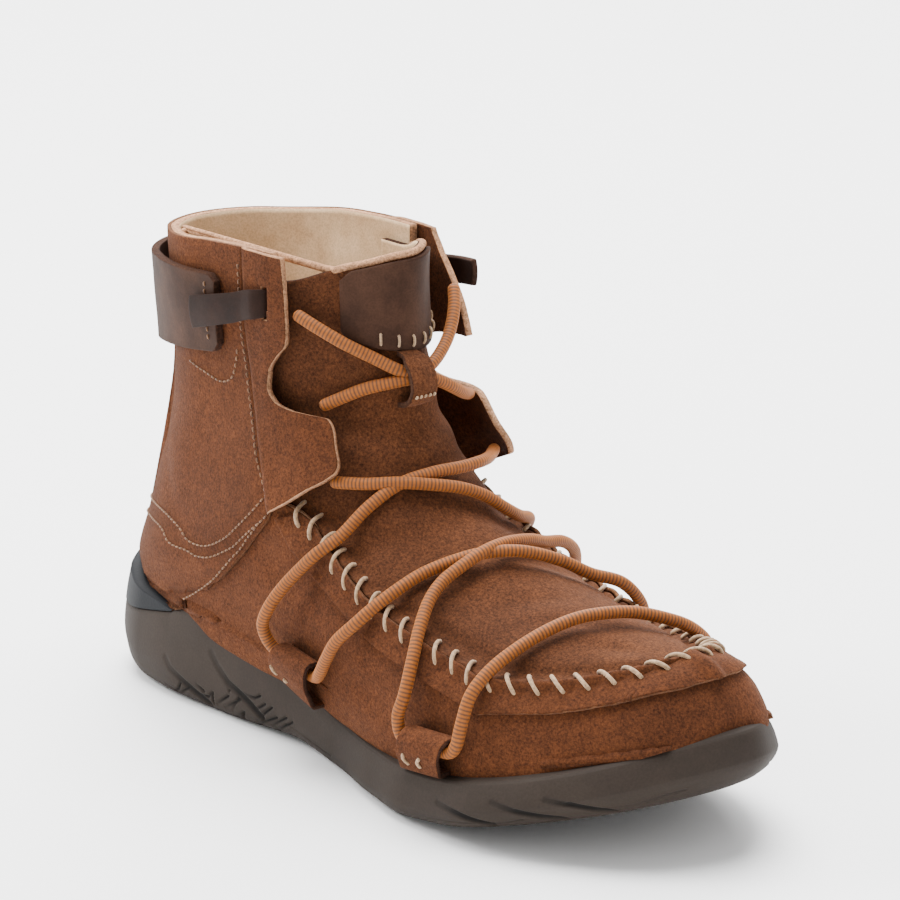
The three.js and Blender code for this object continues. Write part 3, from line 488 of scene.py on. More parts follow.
def thicken(piece, thick, offset, rim=0, inner=0, thin_toe=False):
    """A wall on a sheet, with its rim's and its inside's own finish; thin_toe fines it off in front."""
    wall = piece.modifiers.new("wall", "SOLIDIFY")
    wall.thickness = thick * MM
    wall.offset = offset
    wall.material_offset_rim = rim
    wall.material_offset = inner
    if thin_toe:
        group = piece.vertex_groups.new(name="wall")
        for vert in piece.data.vertices:
            group.add([vert.index], 1 - 0.9 * float(smoothstep(vert.co.x, THIN_FROM, THIN_TO)), "REPLACE")
        wall.vertex_group = "wall"


def covered(piece, *finishes):
    for finish in finishes:
        piece.data.materials.append(finish)


def sided(u, across):
    """The side and the share from the edge to the back, for a grid whose middle column is open."""
    share = np.clip((np.abs(2 * u - 1) - 1 / across) / (1 - 1 / across), 0, 1)
    return np.where(u < 0.5, 1, -1), share


# Suede, lining and edges: a warm brown split leather with a short nap, brushed into lighter and darker
# patches, and a smooth pale leather inside. The sheen lightens the nap where it turns away.
def shader(name, roughness, sheen=0.0):
    made = bpy.data.materials.new(name)
    made.use_nodes = True
    tree = made.node_tree
    surface = tree.nodes["Principled BSDF"]
    surface.inputs["Roughness"].default_value = roughness
    surface.inputs["Sheen Weight"].default_value = sheen
    surface.inputs["Sheen Roughness"].default_value = 0.5
    surface.inputs["Specular IOR Level"].default_value = 0.3
    return made, tree, surface


def joined(tree, *ends):
    for source, target in ends:
        tree.links.new(source, target)


def noise(tree, scale, detail=4.0, roughness=0.55, stretch=None, coordinates=None):
    """Noise on the boot's own coordinates; scale is how many swells fit in a metre."""
    made = tree.nodes.new("ShaderNodeTexNoise")
    made.inputs["Scale"].default_value = scale
    made.inputs["Detail"].default_value = detail
    made.inputs["Roughness"].default_value = roughness
    if coordinates is None:
        coordinates = tree.nodes.new("ShaderNodeTexCoord").outputs["Object"]
    if stretch:
        mapping = tree.nodes.new("ShaderNodeMapping")
        mapping.inputs["Scale"].default_value = stretch
        joined(tree, (coordinates, mapping.inputs["Vector"]))
        coordinates = mapping.outputs["Vector"]
    joined(tree, (coordinates, made.inputs["Vector"]))
    return made.outputs["Fac"]


def ramp(tree, value, *stops):
    made = tree.nodes.new("ShaderNodeValToRGB")
    while len(made.color_ramp.elements) < len(stops):
        made.color_ramp.elements.new(0.5)
    for element, (at, colour) in zip(made.color_ramp.elements, stops):
        element.position = at
        element.color = (*colour, 1)
    joined(tree, (value, made.inputs["Fac"]))
    return made.outputs["Color"]


def blended(tree, share, first, second, way="MIX"):
    made = tree.nodes.new("ShaderNodeMix")
    made.data_type = "RGBA"
    made.blend_type = way
    for name, value in (("Factor_Float", share), ("A_Color", first), ("B_Color", second)):
        socket = next(s for s in made.inputs if s.identifier == name)
        if isinstance(value, bpy.types.NodeSocket):
            joined(tree, (value, socket))
        else:
            socket.default_value = value if name == "Factor_Float" else (*value, 1)
    return next(s for s in made.outputs if s.identifier == "Result_Color")


def bumped(tree, surface, *layers):
    """Layers of relief, each a height from 0 to 1, its depth in millimetres and its strength."""
    normal = None
    for height, depth, strength in layers:
        made = tree.nodes.new("ShaderNodeBump")
        made.inputs["Distance"].default_value = depth * MM
        made.inputs["Strength"].default_value = strength
        joined(tree, (height, made.inputs["Height"]))
        if normal:
            joined(tree, (normal, made.inputs["Normal"]))
        normal = made.outputs["Normal"]
    joined(tree, (normal, surface.inputs["Normal"]))


def linear(colour):
    """Linear values of a colour read by eye from 0 to 255."""
    shares = [c / 255 for c in colour]
    return tuple(c / 12.92 if c <= 0.04045 else ((c + 0.055) / 1.055) ** 2.4 for c in shares)


def suede_finish(name, dark, mid, light, sheen=0.06):
    made, tree, surface = shader(name, 0.93, sheen)
    surface.inputs["Specular IOR Level"].default_value = 0.12
    surface.inputs["Sheen Tint"].default_value = (*linear((190, 120, 80)), 1)
    brushed = ramp(
        tree, noise(tree, 22, 4, 0.5), (0.3, linear(dark)), (0.5, linear(mid)), (0.72, linear(light))
    )
    patches = ramp(tree, noise(tree, 240, 4, 0.7), (0.3, (0.78, 0.78, 0.78)), (0.7, (1.2, 1.2, 1.2)))
    nap = ramp(
        tree,
        noise(tree, 1100, 4, 0.8),
        (0.34, (0.4, 0.38, 0.36)),
        (0.5, (1, 1, 1)),
        (0.68, (1.75, 1.68, 1.6)),
    )
    colour = blended(tree, 1.0, brushed, patches, "MULTIPLY")
    colour = blended(tree, 1.0, colour, nap, "MULTIPLY")
    joined(tree, (colour, surface.inputs["Base Color"]))
    bumped(
        tree,
        surface,
        (noise(tree, 60, 3), 0.8, 0.2),
        (noise(tree, 380, 4, 0.7), 0.4, 0.5),
        (noise(tree, 1300, 3, 0.8), 0.25, 1.0),
    )
    return made


suede = suede_finish("suede", (63, 34, 17), (71, 39, 20), (80, 45, 24))
apron_suede = suede_finish("apron_suede", (62, 35, 19), (70, 40, 22), (79, 46, 26))
cut_edge = suede_finish("cut_edge", (132, 96, 70), (154, 115, 86), (172, 132, 102))
split_edge = suede_finish("split_edge", (66, 42, 27), (86, 56, 37), (106, 72, 48))
raw_edge = suede_finish("raw_edge", (34, 20, 14), (44, 27, 19), (56, 36, 25))


def leather_finish(name, dark, light, gloss):
    made, tree, surface = shader(name, gloss)
    surface.inputs["Specular IOR Level"].default_value = 0.1
    pull = ramp(tree, noise(tree, 70, 5, 0.6), (0.35, linear(dark)), (0.68, linear(light)))
    pores = ramp(tree, noise(tree, 1500, 2), (0.35, (0.84, 0.84, 0.84)), (0.6, (1.06, 1.06, 1.06)))
    joined(tree, (blended(tree, 1.0, pull, pores, "MULTIPLY"), surface.inputs["Base Color"]))
    bumped(tree, surface, (noise(tree, 160, 4), 0.35, 0.3), (noise(tree, 900, 3), 0.08, 0.5))
    return made


lining = leather_finish("lining", (188, 155, 118), (212, 181, 144), 0.7)

UPPER_ACROSS = 181
EVEN_ROW = 4
CREASES = [
    (30, 96, 0.94, 0.34, 26, 5, 0.8),
    (28, 84, 0.97, 0.26, 24, 5, -0.5),
    (6, 74, 0.8, -0.6, 20, 6, 0.7),
    (82, 60, 0.9, -0.43, 22, 5, 0.6),
    (110, 47, 0.95, -0.3, 26, 6, -0.6),
    (132, 36, 0.97, -0.25, 24, 5, 0.7),
    (200, 34, 0.99, 0.1, 20, 4, 0.4),
]
fine_rows = np.sort(
    np.concatenate([np.linspace(0, LAST_ROW, 1500), seam_rows, evened(in_opening, 0, seam_start, 60)])
)
fine_edge = first_out(in_opening, fine_rows)


def upper_place(u, v):
    turn, share = sided(u, UPPER_ACROSS)
    row = np.interp(v, np.linspace(0, 1, len(upper_rows)), upper_rows)
    edge = np.interp(row, fine_rows, fine_edge)
    top = collar_row(turn * lerp(edge, 1, share))
    row = np.where(row < EVEN_ROW, lerp(top, EVEN_ROW, row / EVEN_ROW), row)
    edge = np.interp(row, fine_rows, fine_edge)
    way = turn * lerp(edge, 1, share)
    return on_last(row, way, 0 * row + upper_relief(row, way))


def upper_relief(row, way):
    """Soft creases: over the instep's side, at the ankle's bend and behind the toe."""
    point = last(row, way)
    relief = 0 * row
    for x, z, dx, dz, reach, width, depth in CREASES:
        run = (point[:, 0] - x) * dx + (point[:, 2] - z) * dz
        off = (point[:, 2] - z) * dx - (point[:, 0] - x) * dz
        relief -= depth * np.exp(-((off / width) ** 2) - (run / reach) ** 2)
    return relief


upper = laid_grid("upper_suede", UPPER_ACROSS, len(upper_rows) - 1, upper_place)


def open_middle(piece, across, tip):
    """Takes out the faces that bridge the opening between the two sides."""
    sheet = bmesh.new()
    sheet.from_mesh(piece.data)
    layer = sheet.loops.layers.uv["chart"]
    gone = []
    for face in sheet.faces:
        us = [loop[layer].uv[0] for loop in face.loops]
        vs = [loop[layer].uv[1] for loop in face.loops]
        if min(us) < 0.5 < max(us) and max(us) - min(us) < 1.5 / across and min(vs) < tip:
            gone.append(face)
    bmesh.ops.delete(sheet, geom=gone, context="FACES")
    loose = [v for v in sheet.verts if not v.link_faces]
    bmesh.ops.delete(sheet, geom=loose, context="VERTS")
    sheet.to_mesh(piece.data)
    sheet.free()


upper_tip = (len(shaft_rows) + len(seam_rows) - 2.5) / (len(upper_rows) - 1)
open_middle(upper, UPPER_ACROSS, upper_tip)
covered(upper, suede, cut_edge, lining)
thicken(upper, WALL, -1, rim=1, inner=2, thin_toe=True)
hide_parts("upper")

# Quarter: one more layer of suede round the heel and shaft, behind the facings. It is sewn down with
# rows of fine thread, and its raw front edge sweeps down to the heel.
OVERLAY = 1.3
QUARTER_EDGE = [
    (12, -2),
    (24, 6),
    (31, 15),
    (35.8, 24),
    (41.5, 34),
    (51.5, 48.5),
    (67.4, 63.9),
    (81.5, 74.6),
    (99.2, 64.6),
    (119, 57),
    (140, 53),
    (185, 52.3),
]
SIDE = [
    (0.0, 0.45, 1.0),
    (0.055, 0.62, 1.06),
    (0.138, 0.77, 1.02),
    (0.18, 0.85, 0.975),
    (0.215, 0.92, 0.91),
    (0.252, 1.0, 0.82),
    (0.312, 0.955, 0.8),
    (0.397, 0.815, 0.7),
    (0.45, 0.62, 0.6),
    (0.5, 0.505, 0.5),
    (0.57, 0.475, 0.45),
    (0.66, 0.485, 0.45),
    (0.725, 0.455, 0.42),
    (0.81, 0.45, 0.42),
    (0.87, 0.455, 0.42),
    (0.94, 0.485, 0.42),
    (0.975, 0.5, 0.42),
    (1.0, 0.49, 0.42),
]
rim_share, clip_share = line(SIDE, 0, 1), line(SIDE, 0, 2)
quarter_x = line(QUARTER_EDGE)


def rim_z(x):
    return tread(x) + RIM * rim_share(share_of(x))


def sole_top(x):
    return np.maximum(rim_z(x), tread(x) + CLIP * clip_share(share_of(x)))


def ahead_of_quarter(point):
    return point[..., 0] > quarter_x(point[..., 2])


def sole_row(way):
    """The row at which each way goes down behind the sole's rim."""
    low, high = np.zeros_like(way) + 3, np.zeros_like(way) + LAST_ROW
    for _ in range(18):
        mid = (low + high) / 2
        point = last(mid, way)
        above = point[..., 2] > sole_top(point[..., 0]) + 0.4
        low, high = np.where(above, mid, low), np.where(above, high, mid)
    return low


quarter_rows = np.linspace(0, 14, 800)
quarter_edge = first_out(ahead_of_quarter, quarter_rows)
QUARTER_ACROSS, QUARTER_DOWN, QUARTER_OFF = 160, 130, 0.05


def quarter_place(u, v):
    turn = np.where(u < 0.5, 1, -1)
    share = 1 - np.abs(2 * u - 1)
    row = lerp(1.0, 9.0, v)
    for _ in range(4):
        edge = np.interp(row, quarter_rows, quarter_edge)
        way = turn * lerp(edge, 1, share)
        row = lerp(collar_row(way), sole_row(way), v)
    return on_last(row, way, upper_relief(row, way) + QUARTER_OFF)


quarter = laid_grid("upper_quarter", QUARTER_ACROSS, QUARTER_DOWN, quarter_place)
covered(quarter, suede, split_edge)
thicken(quarter, OVERLAY, 1, rim=1)
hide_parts("upper")

# Apron and tongue: one padded suede piece, sewn in along the moccasin seam and running up inside the
# throat. Its edge is drawn up into the seam, with a small pucker at each whip stitch.
TONGUE_EDGE = [
    (60, 94),
    (72, 84),
    (78, 70),
    (90, 63),
    (106, 56),
    (122, 51),
    (135, 54),
    (185, 54),
]
TONGUE_TOP = [
    (-45, 148.5),
    (-32.1, 156),
    (-21.4, 162.5),
    (-8.6, 167),
    (6.4, 168),
    (19.3, 164.2),
    (30, 157.6),
    (45, 148.5),
]
APRON = 2.4
STITCH_PITCH = 7.8
SEAM_BEGINS = (88, 112)
RIDGE_HIGH, RIDGE_WIDE = 1.9, 2.6
VALLEY_OFF, VALLEY_WIDE = 6.5, 3.5
PUCKER_DEEP, PUCKER_WIDE = 0.4, 5
level_share = line([(87, 0), (100, 0.25), (111.7, 0.85), (121.8, 1)])
tongue_x, tongue_top = line(TONGUE_EDGE), line(TONGUE_TOP)
seam_way = first_out(in_opening, seam_rows)
seam_edge = last(seam_rows, seam_way)
seam_run = np.concatenate([[0], np.cumsum(np.linalg.norm(np.diff(seam_edge, axis=0), axis=1))])
seam_length = seam_run[-1]


def level(point):
    return lerp(-WALL - 0.3, 0.0, level_share(point[..., 0]))


def in_throat(point):
    x, z = point[..., 0], point[..., 2]
    return x > tongue_x(z)


def pucker(row, way, edge, sunk):
    """The seam's raised edge and its puckers, one at each stitch, with a valley sunk beside it."""
    here, seam = last(row, way), last(row, np.sign(way + 1e-9) * edge)
    gap = np.linalg.norm(here - seam, axis=-1)
    run = seam_length - np.interp(row, seam_rows, seam_run)
    wave = np.cos(2 * np.pi * run / STITCH_PITCH)
    begun = smoothstep(here[..., 0], *SEAM_BEGINS)
    valley = sunk * np.exp(-(((gap - VALLEY_OFF) / VALLEY_WIDE) ** 2))
    ridge = RIDGE_HIGH * np.exp(-((gap / RIDGE_WIDE) ** 2)) - valley
    return begun * (ridge + PUCKER_DEEP * wave * np.exp(-((gap / PUCKER_WIDE) ** 2)))


FOLD_TALL = 4.5
ANKLE_FOLDS = [(112, 0.9), (104, -0.7), (126, -0.5), (140, 0.6)]
APRON_FOLDS = [
    (126, 8, 0.2, 1, 22, 5, 1.1),
    (134, -6, -0.25, 1, 20, 5, -0.6),
    (150, 12, 0.35, 1, 18, 5, 0.8),
    (168, -10, 0.5, 1, 14, 5, 0.9),
    (186, -8, 0.7, 0.8, 13, 4.5, 1.0),
    (196, 6, 0.2, 1, 15, 4.5, 0.9),
    (205, -8, 0.9, 0.5, 9, 3.5, 0.9),
]


def apron_relief(point):
    """Soft folds over the toes, and across the tongue where the ankle bends."""
    relief = 0 * point[..., 0]
    for x, y, dx, dy, reach, width, depth in APRON_FOLDS:
        run = (point[..., 0] - x) * dx + (point[..., 1] - y) * dy
        off = (point[..., 1] - y) * dx - (point[..., 0] - x) * dy
        relief -= depth * np.exp(-((off / width) ** 2) - (run / reach) ** 2)
    for z, depth in ANKLE_FOLDS:
        fold = depth * np.exp(-(((point[..., 2] - z) / FOLD_TALL) ** 2))
        relief -= fold * smoothstep(point[..., 2], 95, 104)
    return relief


apron_rows = np.concatenate(
    [np.linspace(0, seam_start, 70)[:-1], evened(in_opening, seam_start, seam_tip - 0.004, 170)]
)
open_way = first_out(in_opening, apron_rows)
throat_way = first_out(in_throat, apron_rows, 0.0, 0.9)
edge_x = last(apron_rows, open_way)[:, 0]
apron_way = lerp(throat_way, open_way, smoothstep(edge_x, 78, 90))


front_rows = np.linspace(0, 9, 400)
front_z = last(front_rows, 0 * front_rows)[:, 2]


def apron_place(u, v):
    spread = np.interp(v, np.linspace(0, 1, len(apron_rows)), apron_rows)
    row = spread
    for _ in range(3):
        way = (1 - 2 * u) * np.interp(row, apron_rows, apron_way)
        y = last(row, way)[:, 1]
        guess = np.interp(-tongue_top(y), -front_z, front_rows)
        top, _ = found(np.stack([y, tongue_top(y)], axis=1), [1, 2], guess, way, 5)
        row = np.where(spread < EVEN_ROW, lerp(top, EVEN_ROW, spread / EVEN_ROW), spread)
    way = (1 - 2 * u) * np.interp(row, apron_rows, apron_way)
    point = last(row, way)
    edge = np.interp(row, apron_rows, open_way)
    gap = np.linalg.norm(point - last(row, np.sign(way + 1e-9) * edge), axis=1)
    sunk = level(point) * (1 - np.exp(-((gap / 5) ** 2)) * smoothstep(point[:, 0], 84, 98))
    out = sunk + apron_relief(point) + pucker(row, way, edge, 1.3) - 0.15
    return on_last(row, way, out)


apron = laid_grid("apron_tongue_suede", 120, len(apron_rows) - 1, apron_place)
covered(apron, apron_suede, raw_edge, lining)
thicken(apron, APRON, -1, rim=1, inner=2)
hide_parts("apron_tongue")

# Strip under the seam: a band of suede that is caught in the whip stitches and lies raw-edged on the
# vamp.
strip_rows = np.concatenate(
    [
        evened(in_opening, seen_from_side(84, 82)[0], seam_tip, 200)[:-1],
        evened(above_strip_edge, seam_tip, strip_tip - 0.002, 26),
    ]
)
strip_open = first_out(in_opening, strip_rows)
strip_way = np.maximum(first_out(above_strip_edge, strip_rows), strip_open + 0.002)
STRIP_ACROSS, STRIP_OFF = 37, 0.35


def strip_place(u, v):
    turn, share = sided(u, STRIP_ACROSS)
    row = np.interp(v, np.linspace(0, 1, len(strip_rows)), strip_rows)
    edge, end = np.interp(row, strip_rows, strip_open), np.interp(row, strip_rows, strip_way)
    way = turn * lerp(edge, end, share)
    run = np.interp(row, seam_rows, seam_run)
    flutter = 0.25 * np.sin(run * 0.9) + 0.2 * np.sin(run * 0.37 + 1)
    out = STRIP_OFF + pucker(row, way, edge, 0.0) + np.abs(flutter) * smoothstep(share, 0.7, 1)
    return on_last(row, way, out)


strip = laid_grid("seam_strip_suede", STRIP_ACROSS, len(strip_rows) - 1, strip_place)
strip_turn = np.searchsorted(strip_rows, seam_tip) - 0.5
open_middle(strip, STRIP_ACROSS, strip_turn / (len(strip_rows) - 1))
covered(strip, suede, split_edge)
thicken(strip, OVERLAY, 1, rim=1)
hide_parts("seam_strip")

# Facings: the two front edges of the shaft, sewn on behind and standing off in front as lace tabs.
# Their cut edges show the pale core of the leather.
FACING, FACING_OFF = 2.2, 0.4
FACING_LOW, FACING_HIGH = 81.8, 165.3
FACING_ACROSS, FACING_ALONG = 46, 150
LATERAL_LIFT, MEDIAL_LIFT = 4.5, 11
SEWN_DEEP, SEWN_WIDE, WOBBLE = 1.7, 1.8, 0.35
REAR_SEAM = [(81.5, 74.6), (99.2, 64.6), (119, 57), (140, 53), (185, 52.3)]
LATERAL_FRONT = [
    (81.8, 76.5),
    (86, 84),
    (90, 90),
    (93.5, 96),
    (96, 98),
    (104.5, 94.5),
    (113.2, 89.5),
    (114, 83),
    (114.6, 77),
    (116.5, 70.5),
    (121, 66.8),
    (126, 66.8),
    (132, 70),
    (136.5, 73.5),
    (140, 74),
    (150, 73.3),
    (160, 72.5),
    (185, 71.8),
]
MEDIAL_FRONT = [
    (81.8, 76.5),
    (84.5, 86),
    (88, 95),
    (91, 101),
    (93.5, 102.5),
    (102, 99),
    (110.5, 93),
    (111.5, 86),
    (112.3, 78),
    (114.5, 70.5),
    (120, 66.8),
    (126, 67.5),
    (130, 75),
    (132, 85),
    (133.5, 92),
    (141, 89),
    (150, 82.5),
    (160, 75.5),
    (166, 72),
    (185, 70),
]
TAB = [(62.4, 0), (69.6, 0.1), (76, 0.3), (82, 0.57), (88.5, 0.8), (95.7, 0.94), (105.9, 1)]
SLIT_X, SLIT_Z, SLIT_WIDE, SLIT_HIGH = 65.7, 148.8, 2.4, 10.5
rear_x, tab_share = line(REAR_SEAM), line(TAB)


def facing(name, side, front, lift):
    """One facing: front is its front edge by height, lift how far its lace tabs stand off."""
    front_line = line(front)
    zs = np.linspace(FACING_LOW, FACING_HIGH, 900)
    turn = np.hypot(np.diff(zs), np.diff(front_line(zs)))
    run = np.concatenate([[0], np.cumsum(turn)])
    shares = np.linspace(0, 1, FACING_ALONG + 1)
    steps = np.interp(np.linspace(0, run[-1], FACING_ALONG + 1), run, zs)

    def flat(u, v):
        z = np.interp(v, shares, steps)
        start = rear_x(z) + 0.35
        x = lerp(start, np.maximum(front_line(z), start + 0.4), u)
        return x, np.minimum(z, collar_z(x))

    def place(u, v):
        x, z = flat(u, v)
        valley = SEWN_DEEP * np.exp(-(((x - rear_x(z)) / SEWN_WIDE) ** 2))
        wobble = WOBBLE * np.sin(z * 0.21 + x * 0.13) * smoothstep(x, 62, 72)
        out = FACING_OFF + lift * tab_share(x) - valley + wobble
        return on_side(x, z, side, out)

    def keep(u, v):
        x, z = flat(u, v)
        return (np.abs(x - SLIT_X) > SLIT_WIDE / 2) | (np.abs(z - SLIT_Z) > SLIT_HIGH / 2)

    piece = laid_grid(name, FACING_ACROSS, FACING_ALONG, place, keep)
    covered(piece, suede, cut_edge, lining)
    thicken(piece, FACING, 1, rim=1)
    return piece


facing_lateral = facing("facing_lateral_suede", -1, LATERAL_FRONT, LATERAL_LIFT)
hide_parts("facing_lateral")
facing_medial = facing("facing_medial_suede", 1, MEDIAL_FRONT, MEDIAL_LIFT)
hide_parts("facing_medial")

# Sole: one moulded cup of fine-grained taupe rubber. Its side carries two long slanted grooves and
# small cut strokes at the heel, and three slashes and a soft facet at the forefoot. A stroke has its
# half width, its depth, and its points by length along the boot and share of the side's height.
SECTION = [(0, TREAD_INSET), (0.075, 3.36), (0.2, 0.96), (0.38, 0), (0.72, 1.2), (1, RIM_INSET)]
section_inset = line(SECTION)
CLIP_END = 0.205
STROKES = [
    (1.7, 0.9, [(13.5, 0.46), (15.9, 0.36), (22.3, 0.25), (28.2, 0.16), (34.7, 0.08)]),
    (1.8, 1.0, [(37.9, 0.62), (41.7, 0.51), (47.1, 0.4), (53.7, 0.33), (58.6, 0.26), (63.7, 0.15)]),
    (0.55, 0.95, [(11, 0.12), (14.4, 0.1), (15, 0.06), (18.7, 0.13), (20.8, 0.21)]),
    (0.55, 0.95, [(16.5, 0.04), (26.3, 0.2)]),
    (0.55, 0.95, [(29.9, 0.25), (33.6, 0.2)]),
    (0.55, 0.95, [(28.8, 0.15), (35.6, 0.16)]),
    (0.55, 0.95, [(33.5, 0.11), (38.3, 0.23), (37.4, 0.11)]),
    (0.55, 0.95, [(39.1, 0.11), (46.9, 0.26)]),
    (0.55, 0.95, [(43.6, 0.11), (53.4, 0.27)]),
    (0.55, 0.95, [(47.6, 0.11), (52.4, 0.28)]),
    (0.55, 0.95, [(46.8, 0.02), (54.3, 0.14), (50.8, 0.02)]),
    (0.55, 0.95, [(56.1, 0.35), (61.4, 0.35), (64.3, 0.4)]),
    (0.55, 0.95, [(58.6, 0.28), (60.7, 0.21), (66.7, 0.33)]),
    (0.55, 0.95, [(59.9, 0.08), (70.2, 0.33)]),
    (0.55, 0.95, [(57.9, 0.01), (72.3, 0.23)]),
    (0.55, 0.95, [(68, 0.09), (77.6, 0.29)]),
    (0.55, 0.95, [(67.9, 0.01), (81.1, 0.29)]),
    (0.45, 0.35, [(76.2, 0.21), (91.2, 0.21), (104.7, 0.26)]),
    (0.45, 0.35, [(69.9, 0.09), (85.5, 0.07)]),
    (0.7, 0.8, [(47.1, 0.33), (47.6, 0.32)]),
    (1.3, 1.2, [(174.9, 0.58), (184.7, 0.41), (191, 0.25), (195, 0.14)]),
    (1.3, 1.2, [(196.5, 0.62), (204.1, 0.43), (210.5, 0.25), (215.7, 0.11)]),
    (1.3, 1.2, [(213.3, 0.58), (220.4, 0.4), (224.9, 0.23), (227.5, 0.13)]),
    (0.4, 0.3, [(168.6, 0.23), (185.9, 0.21), (198.7, 0.16), (205.7, 0.21)]),
    (0.4, 0.3, [(228.3, 0.21), (234.4, 0.16), (239, 0.21), (242.6, 0.23)]),
]


def sole_side(at, side, up):
    """Places on the sole's side; up is a share of its height, from the tread to its top."""
    inset = section_inset(up) + 2.2 * smoothstep(at, 0.74, 0.86) * np.clip((0.46 - up) / 0.46, 0, 1)
    x, y, _, _ = outline(at, side, inset)
    return np.stack([x, y, lerp(tread(x), sole_top(x), up)], axis=-1)


def side_normal(at, side, up):
    turn = np.arccos(1 - 2 * np.clip(at, 0, 1))
    near = (1 - np.cos(turn + 0.01)) / 2
    before = (1 - np.cos(turn - 0.01)) / 2
    around = sole_side(near, side, up) - sole_side(before, side, up)
    upward = sole_side(at, side, up + 0.01) - sole_side(at, side, up - 0.01)
    normal = np.cross(around, upward) * -side[..., None]
    return normal / np.maximum(np.linalg.norm(normal, axis=-1, keepdims=True), 1e-9)


def cut_depth(x, z):
    """How deep the strokes cut in, for places on the side seen flat."""
    depth = 0 * x
    for width, deep, points in STROKES:
        knots = [(px, lerp(float(tread(px)), float(sole_top(px)), up)) for px, up in points]
        run = 0
        total = sum(math.dist(a, b) for a, b in zip(knots, knots[1:]))
        for a, b in zip(knots, knots[1:]):
            ab = (b[0] - a[0], b[1] - a[1])
            size = max(math.hypot(*ab), 1e-6)
            share = np.clip(((x - a[0]) * ab[0] + (z - a[1]) * ab[1]) / size**2, 0, 1)
            away = np.hypot(x - a[0] - share * ab[0], z - a[1] - share * ab[1])
            along = (run + share * size) / total
            swell = 0.25 + 0.75 * smoothstep(along, 0.0, 0.8)
            bite = deep * swell * (1 - smoothstep(away, 0.35 * width, width))
            depth = np.maximum(depth, bite)
            run += size
    return depth


SIDE_ROUND, SIDE_TALL, FINE_SHARE = 1240, 78, 0.68
RIM_LIP, SIDE_SHARE = 5.5, 0.9


def outsole_place(u, v):
    lateral = u < FINE_SHARE
    turn = np.pi * np.where(lateral, u / FINE_SHARE, 1 + (u - FINE_SHARE) / (1 - FINE_SHARE))
    at, side = (1 - np.cos(turn)) / 2, np.where(lateral, -1, 1)
    x = at * LENGTH - HEEL_BACK
    whole = (rim_z(x) - tread(x)) / (sole_top(x) - tread(x))
    whole = np.where(at < CLIP_END, np.minimum(whole, 1), 1)
    up = np.clip(v / SIDE_SHARE, 0, 1) * whole
    point, normal = sole_side(at, side, up), side_normal(at, side, up)
    depth = cut_depth(point[:, 0], point[:, 2])
    swell = 0.25 * np.sin(point[:, 0] * 0.11) * np.sin(np.pi * up)
    round_off = smoothstep(v, SIDE_SHARE - 0.06, SIDE_SHARE)
    point = point + normal * (swell - depth - 0.35 * round_off**2)[:, None]
    tuck = np.clip((v - SIDE_SHARE) / (1 - SIDE_SHARE), 0, 1)
    ledge_x, ledge_y, _, _ = outline(at, side, RIM_INSET + RIM_LIP * tuck)
    inner = np.stack([ledge_x, ledge_y, point[:, 2] + 0.25 * np.sin(np.pi * tuck)], axis=1)
    # The UV map's first column carries each cut's depth, for the rubber's painted shade in the strokes.
    return np.where(tuck[:, None] > 0, inner, point), np.stack([depth, v], axis=1)


TREAD_GROOVES = (0.055, 0.11, 0.165, 0.22, 0.53, 0.585, 0.64, 0.695, 0.75, 0.805)
GROOVE_DEEP, GROOVE_FLOOR, GROOVE_TOP = 2.4, 1.4, 2.4


def tread_place(u, v):
    at = (1 - np.cos(np.pi * v)) / 2
    left, right = sole_side(at, -1 + 0 * u, 0 * u), sole_side(at, 1 + 0 * u, 0 * u)
    point = lerp(left, right, u[:, None])
    x = point[:, 0]
    inside = smoothstep(np.minimum(u, 1 - u) * np.abs(right - left)[:, 1], 2, 7)
    for share in TREAD_GROOVES:
        gap = np.abs(x - share * LENGTH + HEEL_BACK)
        point[:, 2] += GROOVE_DEEP * inside * (1 - smoothstep(gap, GROOVE_FLOOR, GROOVE_TOP))
    return point, np.stack([0 * u, v], axis=1)


def rubber_finish(name, dark, light, gloss):
    """Moulded rubber with a fine grain, and painted shade that darkens it where the UV map says how deep
    a cut is.
    """
    made, tree, surface = shader(name, gloss)
    surface.inputs["Specular IOR Level"].default_value = 0.15
    broad = ramp(tree, noise(tree, 30, 4), (0.3, linear(dark)), (0.7, linear(light)))
    chart = tree.nodes.new("ShaderNodeUVMap")
    chart.uv_map = "chart"
    parts = tree.nodes.new("ShaderNodeSeparateXYZ")
    joined(tree, (chart.outputs["UV"], parts.inputs["Vector"]))
    # Painted shade: the colour darkens with the cut's depth, down to a fifth in the deepest strokes.
    painted_cut_shade = ramp(tree, parts.outputs["X"], (0, (1, 1, 1)), (0.8, (0.2, 0.2, 0.2)))
    broad = blended(tree, 1.0, broad, painted_cut_shade, "MULTIPLY")
    grain = ramp(tree, noise(tree, 1400, 2), (0.3, (0.88, 0.88, 0.88)), (0.7, (1.1, 1.1, 1.1)))
    joined(tree, (blended(tree, 1.0, broad, grain, "MULTIPLY"), surface.inputs["Base Color"]))
    bumped(tree, surface, (noise(tree, 1100, 2, 0.5), 0.12, 0.45), (noise(tree, 90, 2), 0.3, 0.15))
    return made


rubber = rubber_finish("rubber", (37, 30, 25), (45, 37, 31), 0.72)
slate = rubber_finish("slate_rubber", (15, 16, 19), (21, 23, 26), 0.68)
outsole = laid_grid("outsole_side", SIDE_ROUND, SIDE_TALL, outsole_place)
covered(outsole, rubber)
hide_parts("outsole")
treads = laid_grid("outsole_tread", 48, 620, tread_place)
covered(treads, rubber)
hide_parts("outsole")

# Heel clip: a smooth wedge of slate grey rubber behind the heel. It is moulded on its own and glued
# into the cup's side, over the rim.
CLIP_SIDE_SHARE = 0.85


